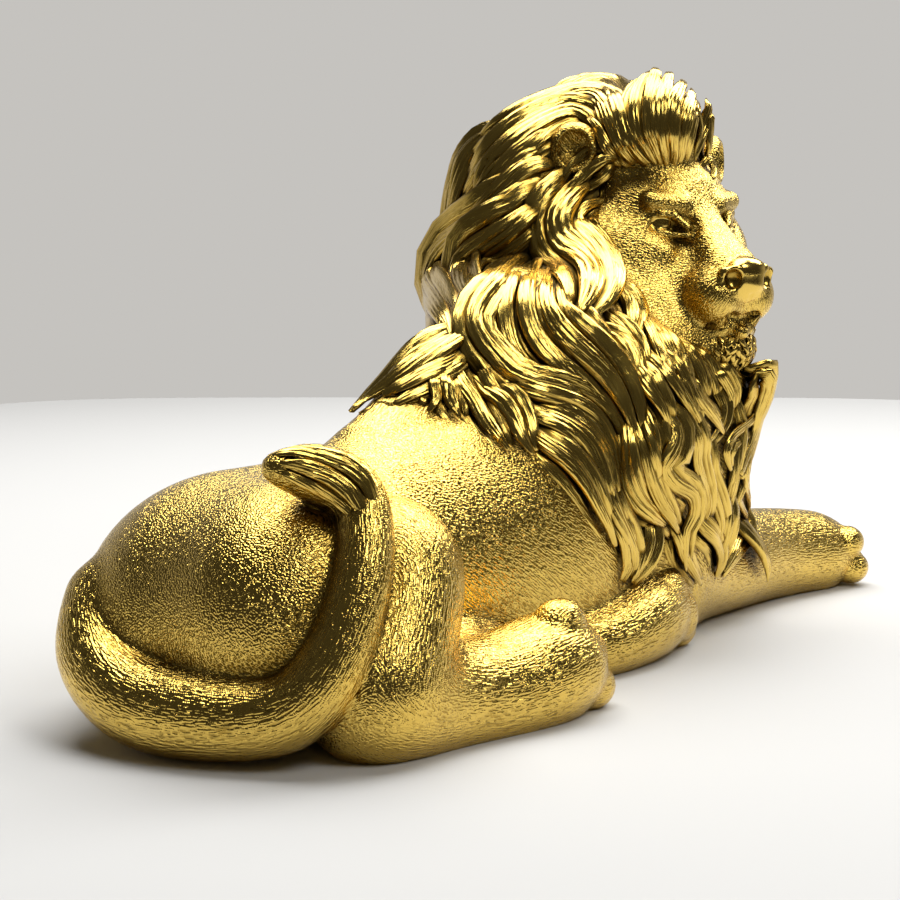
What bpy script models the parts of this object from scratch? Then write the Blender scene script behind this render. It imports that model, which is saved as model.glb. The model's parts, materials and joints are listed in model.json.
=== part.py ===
# A reclining lion, cast as one body: it lies on its haunches with the head turned to its right.
# Metres, +Z up. +X runs towards the forepaws, +Y to the lion's left, and the ground is Z = 0.
import math

import bmesh
import bpy
import numpy as np
from mathutils import Matrix, Vector

# Driving dimension, and the shares of it in which every form below is given
FIGURE_LENGTH = 0.300
SHARES_IN_LENGTH = 300.0
SHARE = FIGURE_LENGTH / SHARES_IN_LENGTH

# Head, for the mane round it: place of its centre and its turn from +X towards -Y
HEAD_CENTRE = (53.5, 8.0, 122.5)
HEAD_TURN = math.radians(88.0)

# Face, which looks a little further round than the mane
FACE_CENTRE = (57.3, 2.9, 122.5)
FACE_TURN = math.radians(103.5)

# Ears: place by the face, and turn of the cup from the nose
NEAR_EAR = (-6.7, -29.7, 22.5)
NEAR_EAR_TURN = -40.0
FAR_EAR = (-9.5, 28.0, 19.5)
FAR_EAR_TURN = 40.0
EAR_RADII = (4.2, 7.2, 8.0)
CUP_RADII = (6.2, 5.9, 6.7)
CUP_AHEAD = 6.8

# Middle of the figure's plan in the frame of the forms; the finished figure stands over its own middle
PLAN_MIDDLE = (-6.0, 3.5)

# Mesh fineness, in shares
CORE_VOXEL = 2.0
FUSED_VOXEL = 1.15
SETTLE_COUNT = 6
SEED_SETTLE_COUNT = 12
LOCK_SETTLE_COUNT = 2
CURVE_COUNT = 3
TRIANGLE_COUNT = 9600

# Mane locks, in shares
LOCK_POINT_COUNT = 12
WAVE_HEIGHT = 3.4
LOCK_STAGGER = 2.0
ROOT_DEPTH = 3.0
COLLAR_TOP = 116.0
WALK_START = 75.0
WALK_STEP = 2.0
WALK_COUNT = 60
WALK_REACH = 5.0
NECK_AXIS_HIGH = (32.0, 10.0)
NECK_AXIS_LOW = (42.0, 0.0)
TUFT_COUNT = 5
BEARD_COUNT = 9
WAVE_LENGTH = 46.0
GOLDEN = 0.618034

# Finish
GOLD = (0.78, 0.55, 0.18, 1.0)
GOLD_ROUGHNESS = 0.3


# Forms: each is a rounded volume with the width over which it melts into the ones before it

def turned(angles):
    x, y, z = (math.radians(a) for a in angles)
    turn = Matrix.Rotation(z, 3, "Z") @ Matrix.Rotation(y, 3, "Y") @ Matrix.Rotation(x, 3, "X")
    return np.array(turn)


def ball(centre, radii, turn=(0, 0, 0), blend=5.0):
    return {
        "kind": "ball",
        "centre": np.array(centre, float),
        "radii": np.array(radii, float),
        "turn": turned(turn),
        "blend": blend,
    }


def bone(start, end, start_radius, end_radius, blend=5.0):
    return {
        "kind": "bone",
        "start": np.array(start, float),
        "end": np.array(end, float),
        "start_radius": start_radius,
        "end_radius": end_radius,
        "blend": blend,
    }


def smooth_curve(rows, steps):
    """Catmull-Rom curve through rows of numbers."""
    rows = np.array(rows, float)
    padded = np.vstack([2 * rows[0] - rows[1], rows, 2 * rows[-1] - rows[-2]])
    curve = []
    for i in range(len(rows) - 1):
        a, b, c, d = padded[i:i + 4]
        for t in np.arange(steps) / steps:
            curve.append(0.5 * (2 * b + (c - a) * t + (2 * a - 5 * b + 4 * c - d) * t**2
                                + (3 * b - 3 * c + d - a) * t**3))
    curve.append(rows[-1])
    return np.array(curve)


def limb(rows, blend=3.0, root_blend=8.0, steps=4):
    """Chain of tapered bones through rows of x, y, z, radius."""
    curve = smooth_curve(rows, steps)
    forms = []
    for a, b in zip(curve[:-1], curve[1:]):
        forms.append(bone(a[:3], b[:3], a[3], b[3], root_blend if not forms else blend))
    return forms


def axes_of(turn):
    """Forward, left and up for a turn from +X towards -Y."""
    forward = (math.cos(turn), -math.sin(turn), 0.0)
    left = (math.sin(turn), math.cos(turn), 0.0)
    return np.stack([forward, left, (0.0, 0.0, 1.0)], 1)


HEAD_AXES = axes_of(HEAD_TURN)
FACE_AXES = axes_of(FACE_TURN)


def in_head(point):
    """Point given forward, left and up of the head's centre."""
    return np.array(HEAD_CENTRE) + HEAD_AXES @ np.array(point, float)


def in_face(point):
    """Point given forward, left and up of the face's centre."""
    return np.array(FACE_CENTRE) + FACE_AXES @ np.array(point, float)


def head_ball(centre, radii, blend=4.0):
    form = ball(in_head(centre), radii, blend=blend)
    form["turn"] = HEAD_AXES @ form["turn"]
    return form


def face_ball(centre, radii, turn=0.0, blend=4.0):
    form = ball(in_face(centre), radii, (0, 0, turn), blend)
    form["turn"] = FACE_AXES @ form["turn"]
    return form


def face_bone(start, end, start_radius, end_radius, blend=3.0):
    return bone(in_face(start), in_face(end), start_radius, end_radius, blend)


def face_balls(centre, radii, turn=0.0, blend=4.0):
    """The same ball on the lion's left and right."""
    ahead, aside, up = centre
    return [face_ball((ahead, aside * side, up), radii, turn * side, blend) for side in (1, -1)]


def face_bones(start, end, start_radius, end_radius, blend=3.0):
    """The same bone on the lion's left and right."""
    forms = []
    for mirror in ((1, 1, 1), (1, -1, 1)):
        forms.append(face_bone(np.multiply(start, mirror), np.multiply(end, mirror),
                               start_radius, end_radius, blend))
    return forms


def face_lines(points, radius, blend):
    """The same chain of bones on the lion's left and right."""
    forms = []
    for start, end in zip(points[:-1], points[1:]):
        forms += face_bones(start, end, radius, radius, blend)
    return forms


def trunk_forms():
    return [
        ball((-107, 14, 26.5), (43.5, 38, 35.5), blend=0.0),
        ball((-113, -10, 30), (35, 31, 32.5), turn=(0, 0, 14), blend=8),
        ball((-64, 6, 28), (46, 31, 41), blend=14),
        ball((-18, 4, 30), (54, 35, 52), blend=14),
        ball((31, 4, 36), (37, 33, 54), blend=14),
        bone((38, 6, 66), (44, 14, 106), 29, 25, blend=14),
    ]


def limb_forms():
    thigh = limb([(-112, -18, 38, 20), (-100, -31, 42, 15.5), (-104, -37, 32, 14.5),
                  (-114, -41, 18, 15)], blend=3)
    right_foot = limb([(-116, -40, 12.5, 15.5), (-97, -42, 10, 13), (-78, -44, 8.5, 12.5),
                       (-64, -46, 10.5, 13), (-54, -46, 12, 12.5)], blend=4)
    left_foot = limb([(-78, -24, 14, 9), (-43, -26, 9, 8), (-15, -29, 8, 9),
                      (6, -27, 10.5, 11), (20, -23, 11.5, 10.5)], blend=3)
    right_fore = limb([(40, -6, 18, 17), (72, -4, 14.5, 14), (104, -1, 12, 12),
                       (126, -3, 9.5, 10.5), (139, -6, 8.5, 9.5)], blend=5)
    left_fore = limb([(40, 18, 18, 16), (70, 22, 14, 13), (92, 22, 11, 11),
                      (110, 20, 9, 9.5)], blend=5)
    return thigh + right_foot + left_foot + right_fore + left_fore


def toes(first, last, radius, count=4):
    """Toe balls in a row, the middle ones standing a little further out."""
    first = np.array(first, float)
    last = np.array(last, float)
    forms = []
    for i in range(count):
        t = i / (count - 1)
        ahead = np.array((math.sin(math.pi * t) * 2.5, 0, 0))
        forms.append(ball(first + (last - first) * t + ahead, (radius * 1.25, radius, radius), blend=1.6))
    return forms


def paw_forms():
    forms = toes((-59, -48, 24), (-45, -51, 6), 5.4)
    forms += toes((18, -26, 19), (27, -24, 5), 5.0)
    forms += toes((141, -15, 5.5), (141, 3, 5.5), 5.4)
    forms += toes((113, 12, 5.5), (113, 28, 5.5), 5.0)
    forms += [ball((-52, -54, 12), (6.5, 5, 8), turn=(0, 0, 30), blend=2)]
    forms += [ball((24, -30, 10), (6, 4.5, 7), turn=(0, 0, 30), blend=2)]
    return forms


def tail_forms():
    return limb([(-141, 29, 32, 9), (-149, 20.5, 20, 9.5), (-151, 4, 12, 10), (-147, -16, 10.5, 9.5),
                 (-138, -34, 13, 8.5), (-131, -42, 24, 7.5), (-121, -42, 43, 6.5),
                 (-115, -37, 56, 6), (-115, -31, 63, 6.6), (-122, -27, 66.5, 6.2),
                 (-132, -25, 68.5, 3.4)], blend=2, root_blend=4)


def mane_forms():
    return [
        head_ball((-26, -12, -8), (21, 33, 33), blend=6),
        head_ball((-32, 6, 0), (24, 34, 37), blend=6),
        head_ball((-35, -13, -16), (22, 31, 23), blend=8),
        head_ball((-29, -8, 12), (22, 29, 26), blend=6),
        *face_balls((-26, 5, 16), (23, 25, 25), blend=6),
        face_ball((-25, 12, -8), (21, 24, 29), blend=6),
        head_ball((-5, 0, 22), (14, 18, 19), blend=5),
        face_ball((2, -4, 26.5), (12, 13, 15), blend=4),
        ball((48, -5, 78), (24, 23, 36), blend=8),
        ball((49, -8, 50), (20, 20, 32), blend=8),
        ball((-2, 9, 82), (40, 26, 22), turn=(0, -33, 0), blend=10),
        bone((-6, 12, 94), (-66, 10, 64), 17, 7, blend=8),
        ball((20, -8, 62), (27, 25, 32), blend=8),
        ball((44, 30, 88), (28, 20, 34), blend=10),
    ]


def skull():
    return face_ball((-6, 0, 2), (24, 25, 20), blend=4)


def face_forms():
    forms = [skull()]
    forms += [face_ball((3.5, 0, 7), (13, 15, 12.5), blend=5)]  # forehead
    forms += [face_bone((10, 0, -16), (26, 0, -18), 15, 12, blend=6)]  # muzzle
    forms += [face_ball((12, 0, -30), (17, 13, 9), blend=5)]  # jaw
    forms += [face_ball((24.5, 0, -36), (11.5, 11.3, 9), blend=3)]  # chin
    forms += face_balls((3, 16, -11), (14, 9.5, 14), blend=6)  # cheek
    forms += face_bones((13.3, 1.8, 4.4), (32.9, 3.5, -13.8), 4.5, 4.5, blend=4)  # bridge of the nose
    forms += face_bones((16, 7.5, 6.0), (12.5, 15.5, 7.2), 3.2, 3.0, blend=2.5)  # brow
    forms += face_bones((17, 14.5, -8), (7, 20.5, -4), 2.6, 3.5, blend=4)  # cheekbone
    forms += face_balls((29.8, 6.5, -20.5), (9, 8.3, 8.6), blend=3)  # whisker pad
    lip = ((19.5, 14.8, -27.5), (24.8, 12.6, -31), (30.6, 8, -31.6), (35, 3, -30.8), (35.8, 0, -30.8))
    return forms + face_lines(lip, 2.1, 1.4) + nose_forms()


def nose_forms():
    rim = ((40.4, 0, -11.4), (39.6, 4.6, -11.6), (36.9, 9.0, -12.8), (36.8, 8.8, -14.6),
           (37.4, 5.4, -18.4), (38, 0, -20.4))
    return [face_ball((37.2, 0, -15.2), (3.9, 8.0, 6.0), blend=0.8)] + face_lines(rim, 1.25, 0.8)


def eye_forms():
    """Eyeballs with their lids, set in the sockets that are carved first."""
    upper_lid = ((10.9, 17.6, 1.4), (14.6, 14.0, 4.8), (17, 10.6, 4.6), (20, 8, 0.8))
    lower_lid = ((10.9, 17.6, 1.0), (14.6, 14.2, -2.7), (17.3, 10.4, -3.7), (20.8, 8, -3.2))
    balls = face_balls((11.4, 11.4, 0.9), (5.0, 5.0, 4.8), blend=0.2)
    return balls + face_lines(upper_lid, 0.9, 0.5) + face_lines(lower_lid, 0.9, 0.5)


def ear_forms():
    return [face_ball(NEAR_EAR, EAR_RADII, NEAR_EAR_TURN, blend=1.5),
            face_ball(FAR_EAR, EAR_RADII, FAR_EAR_TURN, blend=1.5)]


def ear_cup(place, turn):
    """Hollow that opens the way an ear faces."""
    ahead = CUP_AHEAD * math.cos(math.radians(turn))
    aside = CUP_AHEAD * math.sin(math.radians(turn))
    return face_ball((place[0] + ahead, place[1] + aside, place[2]), CUP_RADII, turn, blend=0.8)


def face_carves():
    carves = face_balls((20.5, 9.8, 0.6), (4.4, 4.6, 4.4), blend=2.5)  # inner corner of the eye
    carves += face_balls((17, 14.2, 0.9), (4.2, 6.2, 3.8), blend=1.0)  # socket
    carves += face_bones((19, 8.5, 3.8), (13.2, 17.6, 5.2), 1.4, 1.2, blend=1.5)  # fold under the brow
    mouth = ((19.2, 15.9, -24.6), (23.9, 13.9, -27.8), (29.3, 10.2, -29.8), (33.5, 6, -29.2),
             (36.5, 2, -28.4), (36.5, 0, -27.8))
    carves += face_lines(mouth, 1.2, 0.8)
    carves += face_balls((41.6, 4.9, -15.4), (4.4, 2.7, 2.5), turn=20, blend=0.5)  # nostril
    carves += face_bones((40.4, 6.8, -15.0), (38.4, 10.4, -16.6), 1.3, 0.8, blend=0.5)
    carves += [face_bone((40.2, 0, -20.5), (37.2, 0, -27), 0.8, 0.9, blend=0.8)]  # furrow under the nose
    return carves + [ear_cup(NEAR_EAR, NEAR_EAR_TURN), ear_cup(FAR_EAR, FAR_EAR_TURN)]


# Distance to the melted surface, and the walk of points onto it

def form_distance(form, points):
    if form["kind"] == "ball":
        local = (points - form["centre"]) @ form["turn"]
        scaled = np.linalg.norm(local / form["radii"], axis=1)
        slope = np.linalg.norm(local / form["radii"]**2, axis=1)
        return scaled * (scaled - 1) / np.maximum(slope, 1e-9)
    along = form["end"] - form["start"]
    share = np.clip((points - form["start"]) @ along / max(along @ along, 1e-9), 0, 1)
    radius = form["start_radius"] * (1 - share) + form["end_radius"] * share
    return np.linalg.norm(points - form["start"] - share[:, None] * along, axis=1) - radius


def reach(form):
    if form["kind"] == "ball":
        return form["centre"], form["radii"].max()
    half = np.linalg.norm(form["end"] - form["start"]) / 2
    return (form["start"] + form["end"]) / 2, half + max(form["start_radius"], form["end_radius"])


def melt(a, b, width):
    if width <= 0:
        return np.minimum(a, b)
    overlap = np.maximum(width - np.abs(a - b), 0) / width
    return np.minimum(a, b) - overlap**2 * width / 4


FAR = 1000.0
NEAR_MARGIN = 6.0


def near_form(form, points):
    centre, radius = reach(form)
    span = radius + form["blend"] + NEAR_MARGIN
    return np.flatnonzero(((points - centre)**2).sum(1) < span**2)


def distance(shape, points):
    """Distance to the forms of a shape, less its carves, with its late forms laid in last."""
    result = np.full(len(points), FAR)
    for sign, forms in ((1, shape[0]), (-1, shape[1]), (1, shape[2])):
        for form in forms:
            near = near_form(form, points)
            if len(near):
                deep = form_distance(form, points[near])
                result[near] = sign * melt(sign * result[near], deep, form["blend"])
    return result


SLOPE_STEP = 0.05


def slope(shape, points):
    result = np.empty_like(points)
    for axis in range(3):
        step = np.zeros(3)
        step[axis] = SLOPE_STEP
        rise = distance(shape, points + step) - distance(shape, points - step)
        result[:, axis] = rise / (2 * SLOPE_STEP)
    return result


def settle(shape, points, count=SETTLE_COUNT, longest=1.5):
    """Walk points onto a shape's surface and give them with their outward directions."""
    for _ in range(count):
        rise = slope(shape, points)
        steepness = np.maximum((rise**2).sum(1), 0.05)
        step = -distance(shape, points)[:, None] * rise / steepness[:, None]
        size = np.linalg.norm(step, axis=1, keepdims=True)
        points = points + step * np.minimum(1, longest / np.maximum(size, 1e-9))
    rise = slope(shape, points)
    return points, rise / np.maximum(np.linalg.norm(rise, axis=1, keepdims=True), 1e-9)


# Mane: combed guides say which way the hair runs, and rows of locks follow them

def guides():
    """Places on the mane and the way the hair runs there."""
    return np.array([
        ((50, 34, 158), (-0.3, 1.0, -0.3)),
        ((22, 8, 158), (-0.7, 0.7, -0.15)),
        ((0, 30, 150), (-0.6, 0.6, -0.7)),
        ((-4, 44, 128), (0.0, 0.1, -1.0)),
        ((4, -16, 132), (-0.7, 0.6, -0.35)),
        ((-12, 10, 126), (-0.5, 0.5, -0.8)),
        ((-16, 30, 104), (-0.1, 0.1, -1.0)),
        ((2, -22, 108), (-0.1, -0.1, -1.0)),
        ((0, -26, 90), (0.35, -0.45, -0.85)),
        ((18, -34, 76), (0.5, -0.45, -0.75)),
        ((30, -36, 60), (0.3, -0.2, -1.0)),
        ((44, -32, 36), (0.15, 0.0, -1.0)),
        ((26, -34, 104), (0.1, -0.2, -1.0)),
        ((66, -30, 74), (0.1, 0.1, -1.0)),
        ((-34, -6, 96), (-0.8, 0.1, -0.5)),
        ((-50, 10, 84), (-1.0, 0.1, -0.3)),
        ((-40, -24, 74), (-0.4, -0.4, -0.85)),
        ((-10, -34, 60), (0.35, -0.25, -0.9)),
        ((66, 40, 118), (0.1, 0.4, -1.0)),
        ((20, 50, 90), (-0.4, 0.2, -0.9)),
        ((-30, 34, 78), (-0.8, 0.3, -0.5)),
        ((78, 22, 60), (0.05, 0.0, -1.0)),
        ((84, 0, 134), (0.3, 0.6, -0.7)),
        ((98, 22, 116), (0.1, 0.5, -1.0)),
        ((88, 44, 122), (-0.2, 0.4, -0.9)),
        ((80, 12, 150), (0.5, 0.7, -0.4)),
        ((88, 32, 92), (0.0, 0.1, -1.0)),
        ((62, 52, 130), (-0.3, 0.5, -0.8)),
    ], float)


def combed(points):
    """Direction of the hair at each point, drawn from the guides near it."""
    table = guides()
    apart = ((points[:, None, :] - table[None, :, 0, :])**2).sum(2)
    weight = 1 / (apart + 60.0)**2
    run = weight @ table[:, 1, :]
    return run / np.linalg.norm(run, axis=1, keepdims=True)


def walked_in(surface, points, out):
    """Places reached from outside by walking inwards, where they meet the surface."""
    points = points + out * WALK_START
    for _ in range(WALK_COUNT):
        points -= out * np.clip(distance(surface, points), 0, WALK_STEP)[:, None]
    return points[np.abs(distance(surface, points)) < WALK_REACH]


def ring_seeds(surface, ahead, widest, count):
    """Places on the mane in a ring behind the face, up to an angle from the crown on both sides."""
    angles = np.radians(np.linspace(-widest, widest, count))
    out = np.stack([np.zeros(count), np.sin(angles), np.cos(angles)], 1) @ FACE_AXES.T
    return walked_in(surface, in_face((ahead, 0, 0)), out)


# Height at which the mane ends, by angle round the neck from the face towards the lion's right
HEM_ANGLES = (-150, -110, -75, -40, 0, 28, 40, 52, 62, 75, 100, 150, 185, 215)
HEM_HEIGHTS = (48, 32, 20, 14, 14, 20, 30, 44, 58, 72, 82, 84, 70, 50)


def collar_seeds(surface, above_hem, first, last, spacing):
    """Places round the neck at one height above the hem."""
    count = int((last - first) / spacing) + 1
    angles = np.linspace(first, last, count)
    heights = np.interp(angles, HEM_ANGLES, HEM_HEIGHTS) + above_hem
    angles = angles[heights < COLLAR_TOP]
    heights = heights[heights < COLLAR_TOP]
    turns = np.radians(angles)
    out = np.stack([np.cos(turns), -np.sin(turns), np.zeros(len(turns))], 1) @ HEAD_AXES.T
    lean = np.clip((100 - heights) / 80, 0, 1)[:, None]
    axis = np.array(NECK_AXIS_HIGH) * (1 - lean) + np.array(NECK_AXIS_LOW) * lean
    return walked_in(surface, np.hstack([axis, heights[:, None]]), out)


def lock_rows(surface):
    """Rows from the lowest up: seeds, length, width, lift."""
    return [
        (collar_seeds(surface, 8, 74, 195, 13), 48, 9, 1.5),
        (collar_seeds(surface, 16, -145, 62, 15), 32, 9, 1.5),
        (collar_seeds(surface, 20, 72, 205, 15), 52, 10.5, 2.5),
        (collar_seeds(surface, 34, -140, 205, 15), 44, 10.5, 3.0),
        (collar_seeds(surface, 50, -146, 92, 15), 48, 11, 3.5),
        (collar_seeds(surface, 66, -140, 70, 15), 50, 11, 4.0),
        (collar_seeds(surface, 80, -60, 60, 15), 50, 11, 4.4),
        (ring_seeds(surface, -40, 130, 11), 50, 11, 3.0),
        (ring_seeds(surface, -28, 130, 15), 54, 11.5, 4.0),
        (ring_seeds(surface, -14, 125, 15), 52, 11.5, 4.5),
        (ring_seeds(surface, -2, 120, 12), 42, 10, 4.5),
    ]


def lock_paths():
    """Every lock's points with its outward directions and widths."""
    surface = (trunk_forms() + limb_forms() + mane_forms() + [skull()], [], [])
    locks = []
    for row, (seeds, length, width, lift) in enumerate(lock_rows(surface)):
        points, out = settle(surface, np.array(seeds, float), SEED_SETTLE_COUNT, longest=8)
        track = [points]
        outs = [out]
        for _ in range(LOCK_POINT_COUNT):
            run = combed(points)
            run -= (run * out).sum(1, keepdims=True) * out
            run /= np.maximum(np.linalg.norm(run, axis=1, keepdims=True), 1e-9)
            points, out = settle(surface, points + run * length / LOCK_POINT_COUNT, LOCK_SETTLE_COUNT)
            track.append(points)
            outs.append(out)
        track = np.array(track)
        outs = np.array(outs)
        for i in range(len(seeds)):
            locks.append(waved(track[:, i], outs[:, i], row * 31 + i, length, width, lift))
    return locks


def waved(track, outs, number, length, width, lift):
    """A lock's track with its sideways wave, its rise and its width along the way."""
    share = np.linspace(0, 1, len(track))
    run = np.gradient(track, axis=0)
    run /= np.linalg.norm(run, axis=1, keepdims=True)
    side = np.cross(outs, run)
    phase = 2 * math.pi * (number * GOLDEN % 1)
    sway = WAVE_HEIGHT * np.sin(2 * math.pi * share * length / WAVE_LENGTH + phase) * share**0.5
    own_lift = lift + (LOCK_STAGGER if number % 2 else -LOCK_STAGGER)
    breadth = width * np.sin(math.pi * np.clip(0.15 + 0.85 * share, 0, 1))**0.7
    breadth = np.maximum(breadth, 1.2)
    rise = np.minimum(own_lift * (0.3 + 0.7 * share), 0.4 * breadth + 0.4)
    rise -= ROOT_DEPTH * (1 - share)**4
    return track + side * sway[:, None] + outs * rise[:, None], outs, breadth


def tuft_locks():
    """The forelock: a fan that rises from the brow and falls back."""
    locks = []
    for i, lean in enumerate(np.linspace(-1, 1, TUFT_COUNT)):
        drop = 4 * lean * lean + (2.2 if i % 2 else 0)
        locks.append([(*in_face((8 - drop, 10 * lean, 15)), 6),
                      (*in_face((13 - drop, 12 * lean, 27)), 8),
                      (*in_face((10.5 - drop, 13.5 * lean, 38 - drop / 2)), 8),
                      (*in_face((3 - drop, 13.5 * lean, 44.5 - drop)), 7),
                      (*in_face((-9 - drop, 12 * lean, 42 - drop)), 5.5),
                      (*in_face((-20, 11 * lean, 34)), 2)])
    return locks


def beard_locks():
    """Tapered locks that hang in a half round from the chin."""
    locks = []
    for i, angle in enumerate(np.radians(np.linspace(-115, 115, BEARD_COUNT))):
        ahead = 10 * math.cos(angle)
        aside = 11 * math.sin(angle)
        fall = 24 + 5 * (i % 3)
        bend = 3 if i % 2 else -3
        locks.append([(*in_face((18 + ahead, aside, -36)), 6),
                      (*in_face((18 + 1.15 * ahead, 1.2 * aside + bend, -36 - 0.4 * fall)), 8),
                      (*in_face((15 + 1.1 * ahead, 1.3 * aside - bend, -36 - 0.75 * fall)), 6),
                      (*in_face((14 + ahead, 1.3 * aside + bend, -36 - fall)), 1.5)])
    return locks


def named_locks():
    """Locks with a run of their own: rows of x, y, z and width."""
    cheek = [(*in_head((-8, -25, 9)), 6), (*in_head((-15, -30, 3)), 9), (*in_head((-17, -33, -6)), 9.5),
             (*in_head((-7, -31, -13)), 10), (*in_head((-1, -28, -19)), 9),
             (*in_head((-3, -27, -26)), 6), (*in_head((-9, -29, -29)), 2)]
    jowl = [(*in_head((-5, -23, -16)), 6), (*in_head((3, -21, -22)), 10),
            (*in_head((8, -18, -31)), 8), (*in_head((10, -15, -40)), 2)]
    curl = [(62, -12, 88, 6), (72, -17, 85, 8), (76.5, -19, 76, 8), (74.5, -19, 64, 6.5),
            (70.5, -18, 53, 5.5), (69, -17, 42, 6), (66, -16, 30, 6), (61, -16, 19, 1.5)]
    return [cheek, jowl, curl] + tuft_locks() + beard_locks()


# Building

def clear_scene():
    for item in list(bpy.data.objects):
        bpy.data.objects.remove(item, do_unlink=True)


def applied(item):
    """Mesh object with the item's modifiers or curve settings worked in."""
    depsgraph = bpy.context.evaluated_depsgraph_get()
    depsgraph.update()
    mesh = bpy.data.meshes.new_from_object(item.evaluated_get(depsgraph))
    name = item.name
    bpy.data.objects.remove(item, do_unlink=True)
    made = bpy.data.objects.new(name, mesh)
    bpy.context.scene.collection.objects.link(made)
    return made


def sphere_mesh(fineness):
    shape = bmesh.new()
    bmesh.ops.create_icosphere(shape, subdivisions=fineness, radius=1.0)
    mesh = bpy.data.meshes.new("sphere")
    shape.to_mesh(mesh)
    shape.free()
    return mesh


def add_stretched(shape, mesh, place):
    copy = mesh.copy()
    copy.transform(place)
    shape.from_mesh(copy)
    bpy.data.meshes.remove(copy)


def core_object(forms):
    """Spheres along every form, joined by a voxel remesh."""
    fine = sphere_mesh(4)
    coarse = sphere_mesh(3)
    shape = bmesh.new()
    for form in forms:
        if form["kind"] == "ball":
            turn = Matrix(form["turn"].tolist()).to_4x4()
            place = Matrix.Translation(Vector(form["centre"]) * SHARE)
            add_stretched(shape, fine, place @ turn @ Matrix.Diagonal((*form["radii"] * SHARE, 1)))
            continue
        start = Vector(form["start"])
        end = Vector(form["end"])
        thinnest = min(form["start_radius"], form["end_radius"])
        steps = max(1, math.ceil((end - start).length / (0.7 * thinnest)))
        for i in range(steps + 1):
            t = i / steps
            radius = (form["start_radius"] * (1 - t) + form["end_radius"] * t) * SHARE
            place = Matrix.Translation(start.lerp(end, t) * SHARE)
            add_stretched(shape, coarse, place @ Matrix.Diagonal((radius, radius, radius, 1)))
    mesh = bpy.data.meshes.new("core")
    shape.to_mesh(mesh)
    shape.free()
    core = bpy.data.objects.new("core", mesh)
    bpy.context.scene.collection.objects.link(core)
    remesh = core.modifiers.new("join", "REMESH")
    remesh.mode = "VOXEL"
    remesh.voxel_size = CORE_VOXEL * SHARE
    return applied(core)


def settle_object(item, shape):
    mesh = item.data
    points = np.empty(len(mesh.vertices) * 3)
    mesh.vertices.foreach_get("co", points)
    points, _ = settle(shape, points.reshape(-1, 3) / SHARE)
    mesh.vertices.foreach_set("co", (points * SHARE).ravel())
    mesh.update()


def lock_object(points, widths):
    """Tapered tube along a lock."""
    curve = bpy.data.curves.new("lock", "CURVE")
    curve.dimensions = "3D"
    curve.bevel_depth = 0.5 * SHARE
    curve.bevel_resolution = 2
    curve.use_fill_caps = True
    line = curve.splines.new("POLY")
    line.points.add(len(points) - 1)
    for spot, place, width in zip(line.points, points, widths):
        spot.co = (*(place * SHARE), 1)
        spot.radius = width
    lock = bpy.data.objects.new("lock", curve)
    bpy.context.scene.collection.objects.link(lock)
    return applied(lock)


def fused(items, name):
    """One surface round all the items."""
    shape = bmesh.new()
    for item in items:
        shape.from_mesh(item.data)
        bpy.data.objects.remove(item, do_unlink=True)
    bmesh.ops.remove_doubles(shape, verts=shape.verts, dist=0.00001)
    mesh = bpy.data.meshes.new(name)
    shape.to_mesh(mesh)
    shape.free()
    whole = bpy.data.objects.new(name, mesh)
    bpy.context.scene.collection.objects.link(whole)
    remesh = whole.modifiers.new("fuse", "REMESH")
    remesh.mode = "VOXEL"
    remesh.voxel_size = FUSED_VOXEL * SHARE
    return applied(whole)


def thinned(item):
    """The same surface in fewer triangles."""
    count = sum(len(polygon.vertices) - 2 for polygon in item.data.polygons)
    thin = item.modifiers.new("thin", "DECIMATE")
    thin.ratio = TRIANGLE_COUNT / count
    return applied(item)


def ground_cutter():
    mesh = bpy.data.meshes.new("ground cutter")
    box = bmesh.new()
    bmesh.ops.create_cube(box, size=1.0)
    box.to_mesh(mesh)
    box.free()
    cutter = bpy.data.objects.new("ground_cutter", mesh)
    cutter.scale = (2 * FIGURE_LENGTH, FIGURE_LENGTH, FIGURE_LENGTH)
    cutter.location = (0, 0, -FIGURE_LENGTH / 2)
    cutter.hide_render = True
    cutter.display_type = "WIRE"
    cutters = bpy.data.collections.new("cutters")
    bpy.context.scene.collection.children.link(cutters)
    cutters.objects.link(cutter)
    return cutter


def gold():
    material = bpy.data.materials.new("antique_gold")
    material.use_nodes = True
    shader = material.node_tree.nodes["Principled BSDF"]
    shader.inputs["Base Color"].default_value = GOLD
    shader.inputs["Metallic"].default_value = 1.0
    shader.inputs["Roughness"].default_value = GOLD_ROUGHNESS
    return material


def main():
    clear_scene()
    forms = trunk_forms() + limb_forms() + paw_forms() + tail_forms()
    forms += mane_forms() + face_forms() + ear_forms()
    core = core_object(forms + eye_forms())
    settle_object(core, (forms, face_carves(), eye_forms()))
    items = [core]
    for points, _, widths in lock_paths():
        items.append(lock_object(points, widths))
    for rows in named_locks():
        curve = smooth_curve(rows, CURVE_COUNT)
        items.append(lock_object(curve[:, :3], curve[:, 3]))
    lion = thinned(fused(items, "lion"))
    lion.data.transform(Matrix.Translation((-PLAN_MIDDLE[0] * SHARE, -PLAN_MIDDLE[1] * SHARE, 0)))
    figure = bpy.data.collections.new("reclining_lion")
    bpy.context.scene.collection.children.link(figure)
    bpy.context.scene.collection.objects.unlink(lion)
    figure.objects.link(lion)
    lion.data.materials.append(gold())
    lion.data.shade_smooth()
    flat = lion.modifiers.new("flat underside", "BOOLEAN")
    flat.object = ground_cutter()
    flat.operation = "DIFFERENCE"


main()
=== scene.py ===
# A reclining lion cast in one piece: the fine figure, its mane and its antique gold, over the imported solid
import json
import math

import bmesh
import bpy
import numpy as np
from mathutils import Matrix, Vector
from mathutils.bvhtree import BVHTree

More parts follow.
